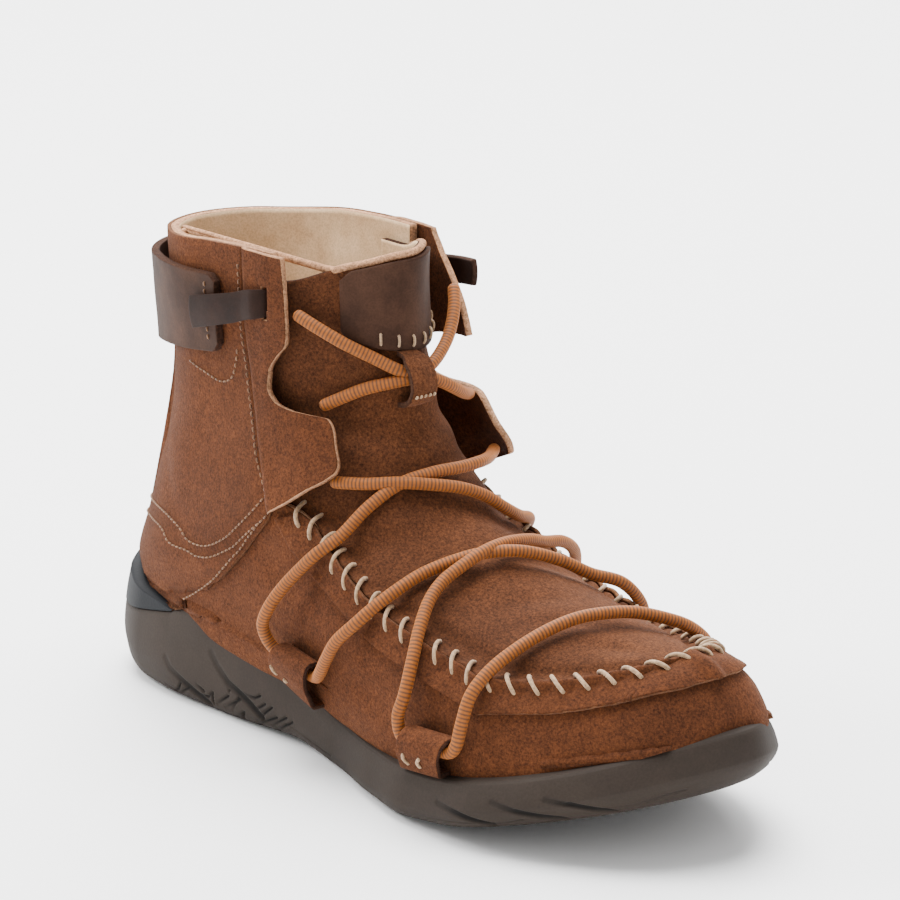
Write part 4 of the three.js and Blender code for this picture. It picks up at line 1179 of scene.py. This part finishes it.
def clip_place(u, v):
    turn = np.arccos(1 - 2 * CLIP_END)
    angle = (2 * u - 1) * turn
    at, side = (1 - np.cos(angle)) / 2, np.where(angle < 0, -1, 1)
    x = at * LENGTH - HEEL_BACK
    start = np.clip((rim_z(x) + 0.2 - tread(x)) / (sole_top(x) - tread(x)), 0, 1)
    up = lerp(start, 1, np.clip(v / CLIP_SIDE_SHARE, 0, 1))
    point = sole_side(at, side, up) + side_normal(at, side, up) * 0.15
    tuck = np.clip((v - CLIP_SIDE_SHARE) / (1 - CLIP_SIDE_SHARE), 0, 1)
    ledge_x, ledge_y, _, _ = outline(at, side, RIM_INSET + RIM_LIP * tuck)
    inner = np.stack([ledge_x, ledge_y, point[:, 2] + 0.3 * np.sin(np.pi * tuck)], axis=1)
    return np.where(tuck[:, None] > 0, inner, point), np.stack([0 * u, v], axis=1)


clip = laid_grid("heel_clip_rubber", 240, 34, clip_place)
covered(clip, slate)
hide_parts("heel_clip")

# Insole: a thin footbed faced with the same pale leather as the lining. It lies loose inside, a little
# cupped at its edges, and shows through the collar.
INSOLE, INSOLE_CUP = 3.5, 2.2


def insole_place(u, v):
    at = lerp(0.004, 0.97, (1 - np.cos(np.pi * v)) / 2)
    x, _, half, middle = outline(at, 1, LEDGE + WALL + 0.4)
    cup = INSOLE_CUP * np.abs(2 * u - 1) ** 4
    spot = np.stack([x, middle + (2 * u - 1) * half, seat(x) + INSOLE + cup - 0.4], axis=1)
    return spot


insole = laid_grid("insole_footbed", 30, 120, insole_place)
covered(insole, lining)
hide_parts("insole")

# Tongue label: a patch of smooth dark leather at the top of the tongue. Its lower edge is curved and
# sewn down with seven cream stitches, and its face is plain.
LABEL, LABEL_SIDE = 1.4, (-22.5, 20)
LABEL_LOW = [
    (-22.5, 141.5),
    (-21, 138.6),
    (-13, 136),
    (-1, 135),
    (11, 136),
    (18.9, 138.6),
    (20, 141.5),
]
label_low = line(LABEL_LOW)


def on_tongue(y, z, out):
    """Places on the tongue seen from the front."""
    guess = np.interp(-z, -front_z, front_rows)
    row, way = found(np.stack([y, z], axis=-1), [1, 2], guess, -(y + 1) / 60)
    return on_last(row, way, level(last(row, way)) + out)


def label_place(u, v):
    y = lerp(*LABEL_SIDE, u)
    corner = smoothstep(np.abs(2 * u - 1), 0.86, 1) ** 2
    z = lerp(label_low(y), tongue_top(y) - 1.6 - 2.2 * corner, v)
    return on_tongue(y, z, 0.4 + 0.25 * np.sin(3 * y / 20) * np.sin(z / 9))


def rounded(piece, size, segments=3):
    edge = piece.modifiers.new("edge", "BEVEL")
    edge.width = size * MM
    edge.segments = segments
    edge.limit_method = "ANGLE"
    edge.angle_limit = math.radians(50)


dark_leather = leather_finish("dark_leather", (43, 26, 17), (62, 40, 28), 0.68)
strap_leather = leather_finish("strap_leather", (25, 13, 8), (39, 22, 14), 0.65)
label = laid_grid("tongue_label_leather", 60, 44, label_place)
covered(label, dark_leather, raw_edge)
thicken(label, LABEL, 1, rim=1)
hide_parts("tongue_label")

# Ankle band: a thick band of dark leather round the back of the shaft, cut with rounded ends. It lies on
# the sides of the shaft, where the strap tabs hold it, and stands off behind the ankle.
BAND, BAND_WAY, BAND_ROWS = 2.8, 0.522, (1.5, 2.95)
BAND_SIDE_OFF, BAND_BACK_OFF = 1.65, 5.6


def band_place(u, v):
    round_way = lerp(BAND_WAY, 2 - BAND_WAY, u)
    way = np.where(round_way > 1, round_way - 2, round_way)
    end = smoothstep(np.abs(2 * u - 1), 0.95, 1)
    rows = lerp(BAND_ROWS[0] + 0.12 * end**2, BAND_ROWS[1] - 0.16 * end**2, v)
    out = lerp(BAND_SIDE_OFF, BAND_BACK_OFF, smoothstep(np.abs(way), 0.6, 0.95))
    return on_last(rows, way, out)


band = laid_grid("ankle_band_leather", 160, 36, band_place)
covered(band, dark_leather, raw_edge)
thicken(band, BAND, 1, rim=1)
rounded(band, 0.8)
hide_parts("ankle_band")

# Strap tabs: narrow leather straps from under the band through the slit of each facing. The one on
# the medial side curls out past its facing's edge. Each station has its row, way and height off.
STRAP_THICK, STRAP_HALF = 2.4, 9.5 / 36
STRAP = [
    (2.2, 0.58, 4.7),
    (2.14, 0.54, 4.7),
    (2.08, 0.5, 4.3),
    (2.02, 0.463, 3.5),
    (1.94, 0.43, 2.8),
]
LATERAL_END = [(1.9, 0.41, 2.8), (1.875, 0.398, 1.6), (1.87, 0.394, -0.4)]
MEDIAL_END = [
    (1.86, 0.39, 3.5),
    (1.82, 0.355, 6.1),
    (1.79, 0.315, 10.5),
    (1.77, 0.285, 13.3),
]


def strap_tab(name, turn, stations, node):
    knots = [(i / (len(stations) - 1), *station) for i, station in enumerate(stations)]
    row_at, way_at, out_at = line(knots, 0, 1), line(knots, 0, 2), line(knots, 0, 3)

    def place(u, v):
        rows = row_at(u) + (2 * v - 1) * STRAP_HALF
        bow = 0.5 * (1 - (2 * v - 1) ** 2)
        return on_last(rows, turn * way_at(u), out_at(u) + bow)

    piece = laid_grid(name, 60, 14, place)
    covered(piece, strap_leather, raw_edge)
    thicken(piece, STRAP_THICK, 1, rim=1)
    rounded(piece, 0.7)
    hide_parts(node)


strap_tab("strap_tab_lateral_leather", 1, STRAP + LATERAL_END, "strap_tab_lateral")
strap_tab("strap_tab_medial_leather", -1, STRAP + MEDIAL_END, "strap_tab_medial")

# Lace keeper: a small bridge of suede over the lace, a little narrower at its top. It is sewn to the
# tongue at both ends, with a row of short stitches across its foot.
KEEPER, KEEPER_Y, KEEPER_HALF, KEEPER_RISE = 1.6, -6.3, 5, 8
KEEPER_LOW, KEEPER_HIGH = 119.3, 134


def keeper_place(u, v):
    pinch = 1 - 0.35 * smoothstep(v, 0.8, 1) ** 2
    y = KEEPER_Y + (2 * u - 1) * KEEPER_HALF * pinch
    z = lerp(KEEPER_LOW, KEEPER_HIGH, v)
    rise = KEEPER_RISE * np.sin(np.pi * np.clip(v, 0, 1)) ** 0.4
    foot = on_tongue(0 * y + KEEPER_Y, z, 0)
    spot = np.stack([foot[:, 0] + 0.5 + rise + 0.25 * np.cos(2 * np.pi * (u - 0.5)), y, z], axis=1)
    return spot


keeper = laid_grid("lace_keeper_suede", 18, 60, keeper_place)
covered(keeper, apron_suede, raw_edge)
thicken(keeper, KEEPER, 1, rim=1)
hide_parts("lace_keeper")

# Side lace loops: strips of suede folded over the lace and sewn in between sole and upper, with dark
# raw edges and two cream stitches each. A corner has x, its height (none is the sole's rim), and y on
# the lateral and on the medial side: back foot, back fold, front foot, front fold.
LOOP_CORNERS = {
    "rear": [
        (81.5, None, -41.1, 34.9),
        (89, 41.5, -44, 38.4),
        (99.5, None, -39.5, 33.3),
        (107.6, 40, -45.4, 39.2),
    ],
    "front": [
        (155.4, None, -48.6, 42.7),
        (159.2, 33.7, -48.3, 42.5),
        (174, None, -48.7, 44),
        (178.6, 34.5, -47.1, 42.8),
    ],
}
LOOP_STITCHES = {
    "rear": [[(0.06, 0.42), (0.1, 0.33), (0.17, 0.25)], [(0.42, 0.36), (0.46, 0.34), (0.5, 0.32)]],
    "front": [[(0.2, 0.46), (0.2, 0.36), (0.3, 0.26)], [(0.62, 0.46), (0.56, 0.36), (0.6, 0.26)]],
}
LOOP, LOOP_WIDE = 1.6, 8.8
LOOP_SECTION = [
    (0, -0.3, 0.0),
    (0.12, 0.4, 0.0),
    (0.3, 0.76, 0.26),
    (0.5, 0.98, 0.55),
    (0.62, 1.0, 0.75),
    (0.72, 0.9, 0.91),
    (0.8, 0.68, 1.0),
    (0.88, 0.35, 1.0),
    (0.94, 0.1, 0.92),
    (1, -0.3, 0.7),
]
loop_out, loop_up = line(LOOP_SECTION, 0, 1), line(LOOP_SECTION, 0, 2)


def loop_spot(corner, side):
    x, z, lateral, medial = corner
    return np.array([x, lateral if side < 0 else medial, float(rim_z(x)) + 0.3 if z is None else z])


def side_loop(name, side, corners, node):
    back_foot, back_fold, front_foot, front_fold = (loop_spot(corner, side) for corner in corners)

    def place(u, v):
        up, out = loop_up(v), loop_out(v)
        low = lerp(back_foot, front_foot, u[:, None])
        high = lerp(back_fold, front_fold, u[:, None])
        spot = lerp(low, high, up[:, None])
        bulge = 1 + 0.05 * np.sin(np.pi * u)
        spot[:, 1] += side * (0.3 + out * LOOP_WIDE * bulge)
        return spot

    piece = laid_grid(name, 40, 70, place)
    covered(piece, suede, raw_edge)
    thicken(piece, LOOP, -1, rim=1)
    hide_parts(node)

    def stitch(knots):
        u, v = np.array(knots, float).T
        spots = place(u, v)
        spots[:, 1] += side * 0.5 * np.sin(np.pi * np.linspace(0, 1, len(knots))) - side * 0.1
        return spots

    return stitch


loop_threads = []
for end, corners in LOOP_CORNERS.items():
    for word, side in (("lateral", -1), ("medial", 1)):
        node = f"lace_loop_{end}_{word}"
        stitch = side_loop(f"{node}_suede", side, corners, node)
        loop_threads += [stitch(knots) for knots in LOOP_STITCHES[end]]

# Lace: one round elastic cord in orange with fine taupe ribs, led over tongue and apron through the
# loops. Each length's route is a list of given places (x, y, z), from end to end.
LACE = 4.1


def smooth_route(points, count):
    """A smooth line through points, evenly stepped."""
    points = np.array(points, float)
    chord = np.linalg.norm(np.diff(points, axis=0), axis=1) ** 0.5
    at = np.concatenate([[0], np.cumsum(chord)])
    slope = np.zeros_like(points)
    steps = np.diff(points, axis=0) / np.diff(at)[:, None]
    before, after = np.diff(at)[:-1, None], np.diff(at)[1:, None]
    slope[1:-1] = (steps[:-1] * after + steps[1:] * before) / (before + after)
    slope[0], slope[-1] = steps[0], steps[-1]
    t = np.linspace(0, at[-1], 40 * len(points))
    i = np.clip(np.searchsorted(at, t, side="right") - 1, 0, len(at) - 2)
    width = (at[i + 1] - at[i])[:, None]
    u = ((t - at[i]) / (at[i + 1] - at[i]))[:, None]
    ease = u * u * (3 - 2 * u)
    line_points = (
        points[i] * (1 - ease)
        + points[i + 1] * ease
        + width * (slope[i] * u * (1 - u) ** 2 + slope[i + 1] * u * u * (u - 1))
    )
    run = np.concatenate([[0], np.cumsum(np.linalg.norm(np.diff(line_points, axis=0), axis=1))])
    even = np.linspace(0, run[-1], count)
    return np.stack([np.interp(even, run, line_points[:, k]) for k in range(3)], axis=1), run[-1]


def tube_places(route, radius, u, v):
    """Places on a round cord about a route; both of its ends are rounded off."""
    count = len(route)
    tangent = np.gradient(route, axis=0)
    tangent /= np.maximum(np.linalg.norm(tangent, axis=1, keepdims=True), 1e-9)
    normal = np.zeros_like(route)
    normal[0] = np.cross(tangent[0], [0.3, 0.2, 1.0])
    for k in range(1, count):
        normal[k] = normal[k - 1] - tangent[k] * (normal[k - 1] @ tangent[k])
        normal[k] /= np.linalg.norm(normal[k])
    normal[0] /= np.linalg.norm(normal[0])
    side = np.cross(tangent, normal)
    length = np.linalg.norm(np.diff(route, axis=0), axis=1).sum()
    at = v * (count - 1)
    i = np.clip(at.astype(int), 0, count - 2)
    share = (at - i)[:, None]

    def between(values):
        return values[i] * (1 - share) + values[i + 1] * share

    end = np.minimum(v, 1 - v) * length / radius
    size = radius * np.sqrt(np.clip(1 - (1 - np.clip(end, 0, 1)) ** 2, 0, 1))
    angle = 2 * np.pi * u
    ring = between(normal) * np.cos(angle)[:, None] + between(side) * np.sin(angle)[:, None]
    return between(route) + ring * size[:, None]


RIB_PITCH, WAVE_SPAN = 0.00125, 0.314


def lace_finish():
    """Woven cord; the ribs follow the length that the UV map counts in metres."""
    made, tree, surface = shader("lace_cord", 0.7, 0.3)
    surface.inputs["Sheen Tint"].default_value = (*linear((220, 140, 70)), 1)
    chart = tree.nodes.new("ShaderNodeUVMap")
    chart.uv_map = "chart"
    ribs = tree.nodes.new("ShaderNodeTexWave")
    ribs.wave_type, ribs.bands_direction = "BANDS", "Y"
    ribs.inputs["Scale"].default_value = WAVE_SPAN / RIB_PITCH
    ribs.inputs["Distortion"].default_value = 0.6
    ribs.inputs["Detail"].default_value = 1
    joined(tree, (chart.outputs["UV"], ribs.inputs["Vector"]))
    colour = ramp(
        tree,
        ribs.outputs["Fac"],
        (0.15, linear((78, 50, 28))),
        (0.45, linear((122, 64, 13))),
        (0.8, linear((138, 74, 16))),
    )
    worn = ramp(tree, noise(tree, 500, 3), (0.3, (0.85, 0.85, 0.85)), (0.7, (1.1, 1.1, 1.1)))
    joined(tree, (blended(tree, 1.0, colour, worn, "MULTIPLY"), surface.inputs["Base Color"]))
    bumped(tree, surface, (ribs.outputs["Fac"], 0.12, 0.35), (noise(tree, 1600, 2), 0.1, 0.4))
    return made


lace_cord = lace_finish()
FROM_LATERAL_TOP = [
    (75.5, -31.5, 147), (82.6, -28.2, 143.2), (90.3, -23.3, 138.6), (97, -16.3, 133.8),
    (103.4, -10.2, 129.7), (106.2, -3.8, 127.4), (106.8, 3.5, 124.5), (106.3, 10, 121),
    (103.5, 16.5, 117.5), (99, 22.5, 115), (94, 27.3, 113),
]
FROM_MEDIAL_TOP = [
    (90, 24, 150), (95.5, 19.5, 143.5), (100, 13.5, 137), (103.8, 6, 132.2), (106, -0.5, 129.5),
    (106, -6, 127.3), (102.6, -12, 126), (96, -19, 123.5), (90, -24, 120), (84.5, -28.3, 116.6),
]
FROM_MEDIAL_TAB = [
    (103.5, 30.5, 96), (107, 26, 95.5), (112, 20, 96.3), (116, 12.7, 97.3), (116.8, 4.8, 97.4),
    (116.1, -7, 97.6), (113, -18.8, 95.2), (109.6, -29, 88.6), (105.6, -37.5, 79.5),
    (101.3, -44, 73.9), (95.8, -46.6, 67.7), (90, -49, 60.6), (85.5, -51.3, 53),
    (82.6, -51.3, 46.5), (83.4, -49.4, 40.6), (87.5, -48, 37.2), (92, -48.1, 36.3),
    (95.85, -48.2, 35.8),
]
FROM_LATERAL_TAB = [
    (94.5, -32.3, 94.4), (105.3, -27, 95.2), (113.8, -19, 96), (119, -9.8, 94.8),
    (122.2, 0.2, 92.4), (123.4, 9.2, 88.2), (123.6, 17.5, 82.5), (120.5, 26.5, 77.2),
    (115, 35.5, 73.2), (107, 40.2, 66.5), (98.5, 43.6, 59), (90.5, 45.6, 51.5), (84.5, 46, 46),
    (83.4, 43.8, 40.6), (87.5, 42.3, 37.2), (92, 42.2, 36.3), (95.85, 42.2, 35.8),
]
FROM_LATERAL_REAR = [
    (96.15, -48.2, 35.8), (101, -48.4, 35), (106.5, -48.6, 34.5), (112, -51.2, 38),
    (117, -52.5, 44.5), (122, -52.6, 51.5), (128.6, -49.4, 59), (132.4, -43.6, 65),
    (135.3, -37.2, 69.6), (137.4, -30, 73.2), (141.2, -20.8, 76.4), (146.5, -12, 78.8),
    (152, -1, 78.6), (156.5, 12, 74), (160, 22.5, 68), (163.4, 33, 63.6), (163.6, 41.2, 55),
    (159.8, 46.4, 44.4), (155.4, 48.2, 35.5), (156.3, 47.9, 29.6), (159.5, 47.3, 28.4),
    (163, 47.3, 28.5), (167.85, 47.4, 28.6),
]
FROM_MEDIAL_REAR = [
    (96.15, 42.2, 35.8), (101, 42.3, 35), (106.5, 42.4, 34.5), (112, 45, 38), (119, 46.6, 47),
    (126.8, 45, 57), (132.8, 39.6, 65.6), (137, 31, 71.4), (140.6, 20, 74.6), (144.3, 9.1, 78.4),
    (146.8, -3.8, 80.4), (147.6, -13, 79.6), (147, -21, 76.6), (146, -28, 72.8),
    (147.4, -34.6, 68.5), (151, -41.8, 61.8), (155, -48.5, 52.5), (156.4, -52.8, 43),
    (155, -54.3, 35.5), (156.2, -53.7, 29.6), (159.5, -53, 28.4), (163, -53, 28.5),
    (167.85, -52.8, 28.6),
]
OVER_TOE = [
    (168.15, -52.8, 28.6), (173.5, -52.6, 29), (178.3, -52.4, 29.9), (181, -52.3, 33),
    (181.8, -51.2, 39), (182.2, -47.4, 48.8), (182.8, -40.4, 55.2), (184.6, -31.3, 60.6),
    (187, -20, 65.2), (189.4, -10.4, 67.6), (191.7, -2, 68), (194.8, 9.3, 66.8),
    (198, 19.3, 63.6), (199.2, 28.6, 59.2), (198.4, 36.8, 52.8), (194, 43, 45.4),
    (187.5, 46.6, 38), (182, 47.9, 32.6), (178.3, 47.8, 29.9), (173.5, 47.6, 29),
    (168.15, 47.4, 28.6),
]
LACE_SIDES, LACE_STEP = 20, 0.7
for name, points, node in (
    ("lace_lateral_top", FROM_LATERAL_TOP, "lace_upper_crossing"),
    ("lace_medial_top", FROM_MEDIAL_TOP, "lace_upper_crossing"),
    ("lace_medial_tab", FROM_MEDIAL_TAB, "lace_middle_crossing"),
    ("lace_lateral_tab", FROM_LATERAL_TAB, "lace_middle_crossing"),
    ("lace_lateral_rear", FROM_LATERAL_REAR, "lace_lower_crossing"),
    ("lace_medial_rear", FROM_MEDIAL_REAR, "lace_lower_crossing"),
    ("lace_over_toe", OVER_TOE, "lace_toe_bar"),
):
    route, length = smooth_route(points, 20 * len(points))

    def lace_place(u, v, route=route, length=length):
        return tube_places(route, LACE / 2, u, v), np.stack([u, v * length * MM], axis=1)

    piece = laid_grid(name, LACE_SIDES, int(length / LACE_STEP), lace_place)
    covered(piece, lace_cord)
    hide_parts(node)

# Whip stitches: thick cream thread that draws the apron to the vamp, one stitch at each pucker of the
# seam, set on a slant. A place on a stitch has how far ahead it is along the seam, across it and out
# from the last, and whether it lies on the apron, which is sunk towards the throat.
WHIP_THREAD = 0.72
WHIP = [
    (2.3, -3.6, -0.9, True),
    (2.0, -2.8, 1.3, True),
    (0, 0, 3.1, False),
    (-2.3, 3.0, 2.5, False),
    (-3.2, 4.0, 0.6, False),
]


def thread_finish(name, dark, light):
    made, tree, surface = shader(name, 0.75, 0.2)
    plies = ramp(tree, noise(tree, 900, 2), (0.35, linear(dark)), (0.65, linear(light)))
    joined(tree, (plies, surface.inputs["Base Color"]))
    bumped(tree, surface, (noise(tree, 1500, 2), 0.15, 0.6))
    return made


def sewn(name, threads, radius, finish, sides=7, steps=8):
    """Many short threads as one piece."""
    sheet = bmesh.new()
    for thread in threads:
        fresh = bmesh.ops.create_grid(sheet, x_segments=sides, y_segments=steps, size=0.5)["verts"]
        uv = np.array([(v.co.x + 0.5, v.co.y + 0.5) for v in fresh])
        route = smooth_route(thread, 12)[0]
        spots = tube_places(route, radius, uv[:, 0], uv[:, 1]) * MM
        for vert, spot in zip(fresh, spots):
            vert.co = spot
    bmesh.ops.remove_doubles(sheet, verts=sheet.verts, dist=1e-6)
    piece = finished(name, sheet)
    covered(piece, finish)
    return piece


cream_thread = thread_finish("cream_thread", (126, 100, 72), (164, 134, 102))
tan_thread = thread_finish("tan_thread", (92, 62, 36), (122, 86, 54))


def seam_point(run, across, out):
    """A place by the seam: run along it from the toe, lateral first, and so far across it outwards."""
    row = np.interp(seam_length - abs(run), seam_run, seam_rows)
    way = math.copysign(float(np.interp(row, seam_rows, seam_way)), run)
    here = last(row, way)
    near = min(abs(run) + 0.6, seam_length)
    other = np.interp(seam_length - near, seam_run, seam_rows)
    there = last(other, math.copysign(float(np.interp(other, seam_rows, seam_way)), run))
    along = (here - there) * (1 if run > 0 else -1)
    along /= max(np.linalg.norm(along), 1e-9)
    normal = outward(row, way)
    cross = np.cross(along, normal)
    cross /= np.linalg.norm(cross)
    target = here + cross * across
    row, way = found(target, [0, 1, 2], row, way, 6)
    return on_last(row, way, out)


whips = []
for k in range(-24, 24):
    run = (k + 0.5) * STITCH_PITCH
    if abs(run) > seam_length - 8:
        continue
    inner = seam_point(run + 1.6, -4.4, 0)
    lift = float(level(inner))
    whips.append(
        [
            seam_point(run + ahead, across, out + lift if on_apron else out)
            for ahead, across, out, on_apron in WHIP
        ]
    )
sewn("whip_stitches", whips, WHIP_THREAD, cream_thread, 9, 12)

# Other stitching: rows of fine tan thread on the quarter and the band's ends, and the short cream
# stitches of label, keeper and side loops. A place on a row has its row and way on the last.
MIDST = (60, 70)


def dashed(points, pitch, stitch, lift):
    """Stitches along a line of places on the boot, each one arching out by lift."""
    run = np.concatenate([[0], np.cumsum(np.linalg.norm(np.diff(points, axis=0), axis=1))])
    threads = []
    for start in np.arange(0.4, run[-1] - stitch, pitch):
        at = start + np.array([0, 0.2, 0.5, 0.8, 1]) * stitch
        spots = np.stack([np.interp(at, run, points[:, k]) for k in range(3)], axis=1)
        away = spots - np.array([MIDST[0], middle_at(MIDST[0]), MIDST[1]])
        away[:, 2] *= 0.4
        away /= np.linalg.norm(away, axis=1, keepdims=True)
        threads.append(spots + away * np.array([-0.3, 0.6, 1, 0.6, -0.3])[:, None] * lift)
    return threads


UPPER_ROW = [
    (6.24, 0.35), (6.65, 0.373), (7.09, 0.413), (7.59, 0.492), (7.67, 0.55), (6.95, 0.568),
    (6.38, 0.627), (6.04, 0.713), (5.85, 0.85), (5.8, 1),
]
LOWER_ROW = [
    (6.71, 0.333), (7.17, 0.365), (7.59, 0.427), (8.2, 0.532), (8.3, 0.59), (7.51, 0.603),
    (6.77, 0.635), (6.38, 0.715), (6.17, 0.85), (6.1, 1),
]
BAND_CURVE = [(18.5, 118.7), (29.2, 117.3), (39.8, 116.3), (45.8, 119.1), (48.1, 125), (49, 131)]
on_quarter, ROW_INSET = OVERLAY + 0.1, 1.8
fine = []
for knots in (UPPER_ROW, LOWER_ROW):
    wrapped = knots + [(row, 2 - way) for row, way in knots[-2::-1]]
    flat, _ = smooth_route([(row, way * 10, 0) for row, way in wrapped], 400)
    spots = on_last(flat[:, 0], flat[:, 1] / 10, 0 * flat[:, 0] + on_quarter)
    fine += dashed(spots, 2.5, 1.8, 0.35)
for side in (-1, 1):
    heights = np.linspace(84, 161, 300)
    front_line = on_side(quarter_x(heights) - ROW_INSET, heights, side, 0 * heights + on_quarter)
    fine += dashed(front_line, 2.6, 1.8, 0.35)
    curve, _ = smooth_route([(x, 0, z) for x, z in BAND_CURVE], 200)
    under_band = on_side(curve[:, 0], curve[:, 2], side, 0 * curve[:, 0] + on_quarter)
    fine += dashed(under_band, 2.5, 1.8, 0.35)
    heights = np.linspace(36, 76, 200)
    xs = quarter_x(heights)
    slope = np.gradient(xs, heights)
    inset = ROW_INSET / np.hypot(1, slope)
    wave_line = on_side(xs - inset, heights + inset * slope, side, 0 * heights + on_quarter)
    fine += dashed(wave_line, 2.5, 1.8, 0.35)
    rows = np.linspace(1.62, 2.82, 60)
    edge_line = on_last(rows, 0 * rows - side * 0.55, 0 * rows + BAND_SIDE_OFF + BAND + 0.05)
    fine += dashed(edge_line, 2.6, 1.9, 0.3)
sewn("quarter_threads", fine, 0.3, tan_thread, 5, 5)

LABEL_STITCH_UP, LABEL_STITCH_OUT = np.array([1.2, 2.2, 4.6, 5.6]), np.array([1.3, 2.3, 2.4, 1.3])
KEEPER_STITCH = np.array([0.17, 0.21, 0.25])
short = []
for y in np.linspace(-14, 16, 7):
    heights = float(label_low(y)) + LABEL_STITCH_UP
    short.append(on_tongue(np.full(4, y), heights, LABEL_STITCH_OUT))
for y in np.linspace(-10, -2.6, 5):
    spots = keeper_place(0 * KEEPER_STITCH + 0.5, KEEPER_STITCH)
    spots[:, 1] = y
    spots[:, 0] += KEEPER + np.array([-0.1, 0.3, -0.1])
    short.append(spots)
sewn("label_and_keeper_stitches", short, 0.45, cream_thread, 7, 8)
sewn("loop_stitches", loop_threads, 0.6, cream_thread, 8, 10)

# Tongue binding: a narrow rolled edge of pale leather along the top of the tongue. It is folded over
# the cut edge and glued.
BINDING = 1.25
ys = np.linspace(-27, 27, 60)
binding_line = on_tongue(ys, tongue_top(ys) - 0.4, 0 * ys - 0.9)


def binding_place(u, v):
    return tube_places(binding_line, BINDING, u, v)


binding = laid_grid("tongue_binding", 12, 120, binding_place)
covered(binding, cut_edge)

# Floor and light: a pale sweep under soft studio lamps, as in the photo.
stage_mesh = bmesh.new()
bmesh.ops.create_grid(stage_mesh, x_segments=1, y_segments=1, size=6)
floor_mesh = bpy.data.meshes.new("floor")
stage_mesh.to_mesh(floor_mesh)
stage_mesh.free()
floor = bpy.data.objects.new("floor", floor_mesh)
floor.location = (0, 0, -0.0002)
bpy.context.collection.objects.link(floor)
floor_finish, _, floor_surface = shader("floor", 0.9)
floor_surface.inputs["Base Color"].default_value = (0.96, 0.96, 0.96, 1)
covered(floor, floor_finish)


def lamp(name, place, size, power):
    data = bpy.data.lights.new(name, "AREA")
    data.shape = "DISK"
    data.size = size
    data.energy = power
    made = bpy.data.objects.new(name, data)
    made.location = place
    made.rotation_mode = "QUATERNION"
    aim = AIM * MM - Vector(place)
    made.rotation_quaternion = aim.to_track_quat("-Z", "Y")
    bpy.context.collection.objects.link(made)


lamp("overhead", (-0.2, 0.1, 2.0), 1.8, 120)
lamp("key", (-1.5, -1.2, 1.5), 1.0, 50)
lamp("sweep", (-1.7, 1.6, 2.2), 2.4, 170)
world = bpy.data.worlds.new("studio")
bpy.context.scene.world = world
world.use_nodes = True
world.node_tree.nodes["Background"].inputs["Color"].default_value = (1, 1, 1, 1)
world.node_tree.nodes["Background"].inputs["Strength"].default_value = 1.15
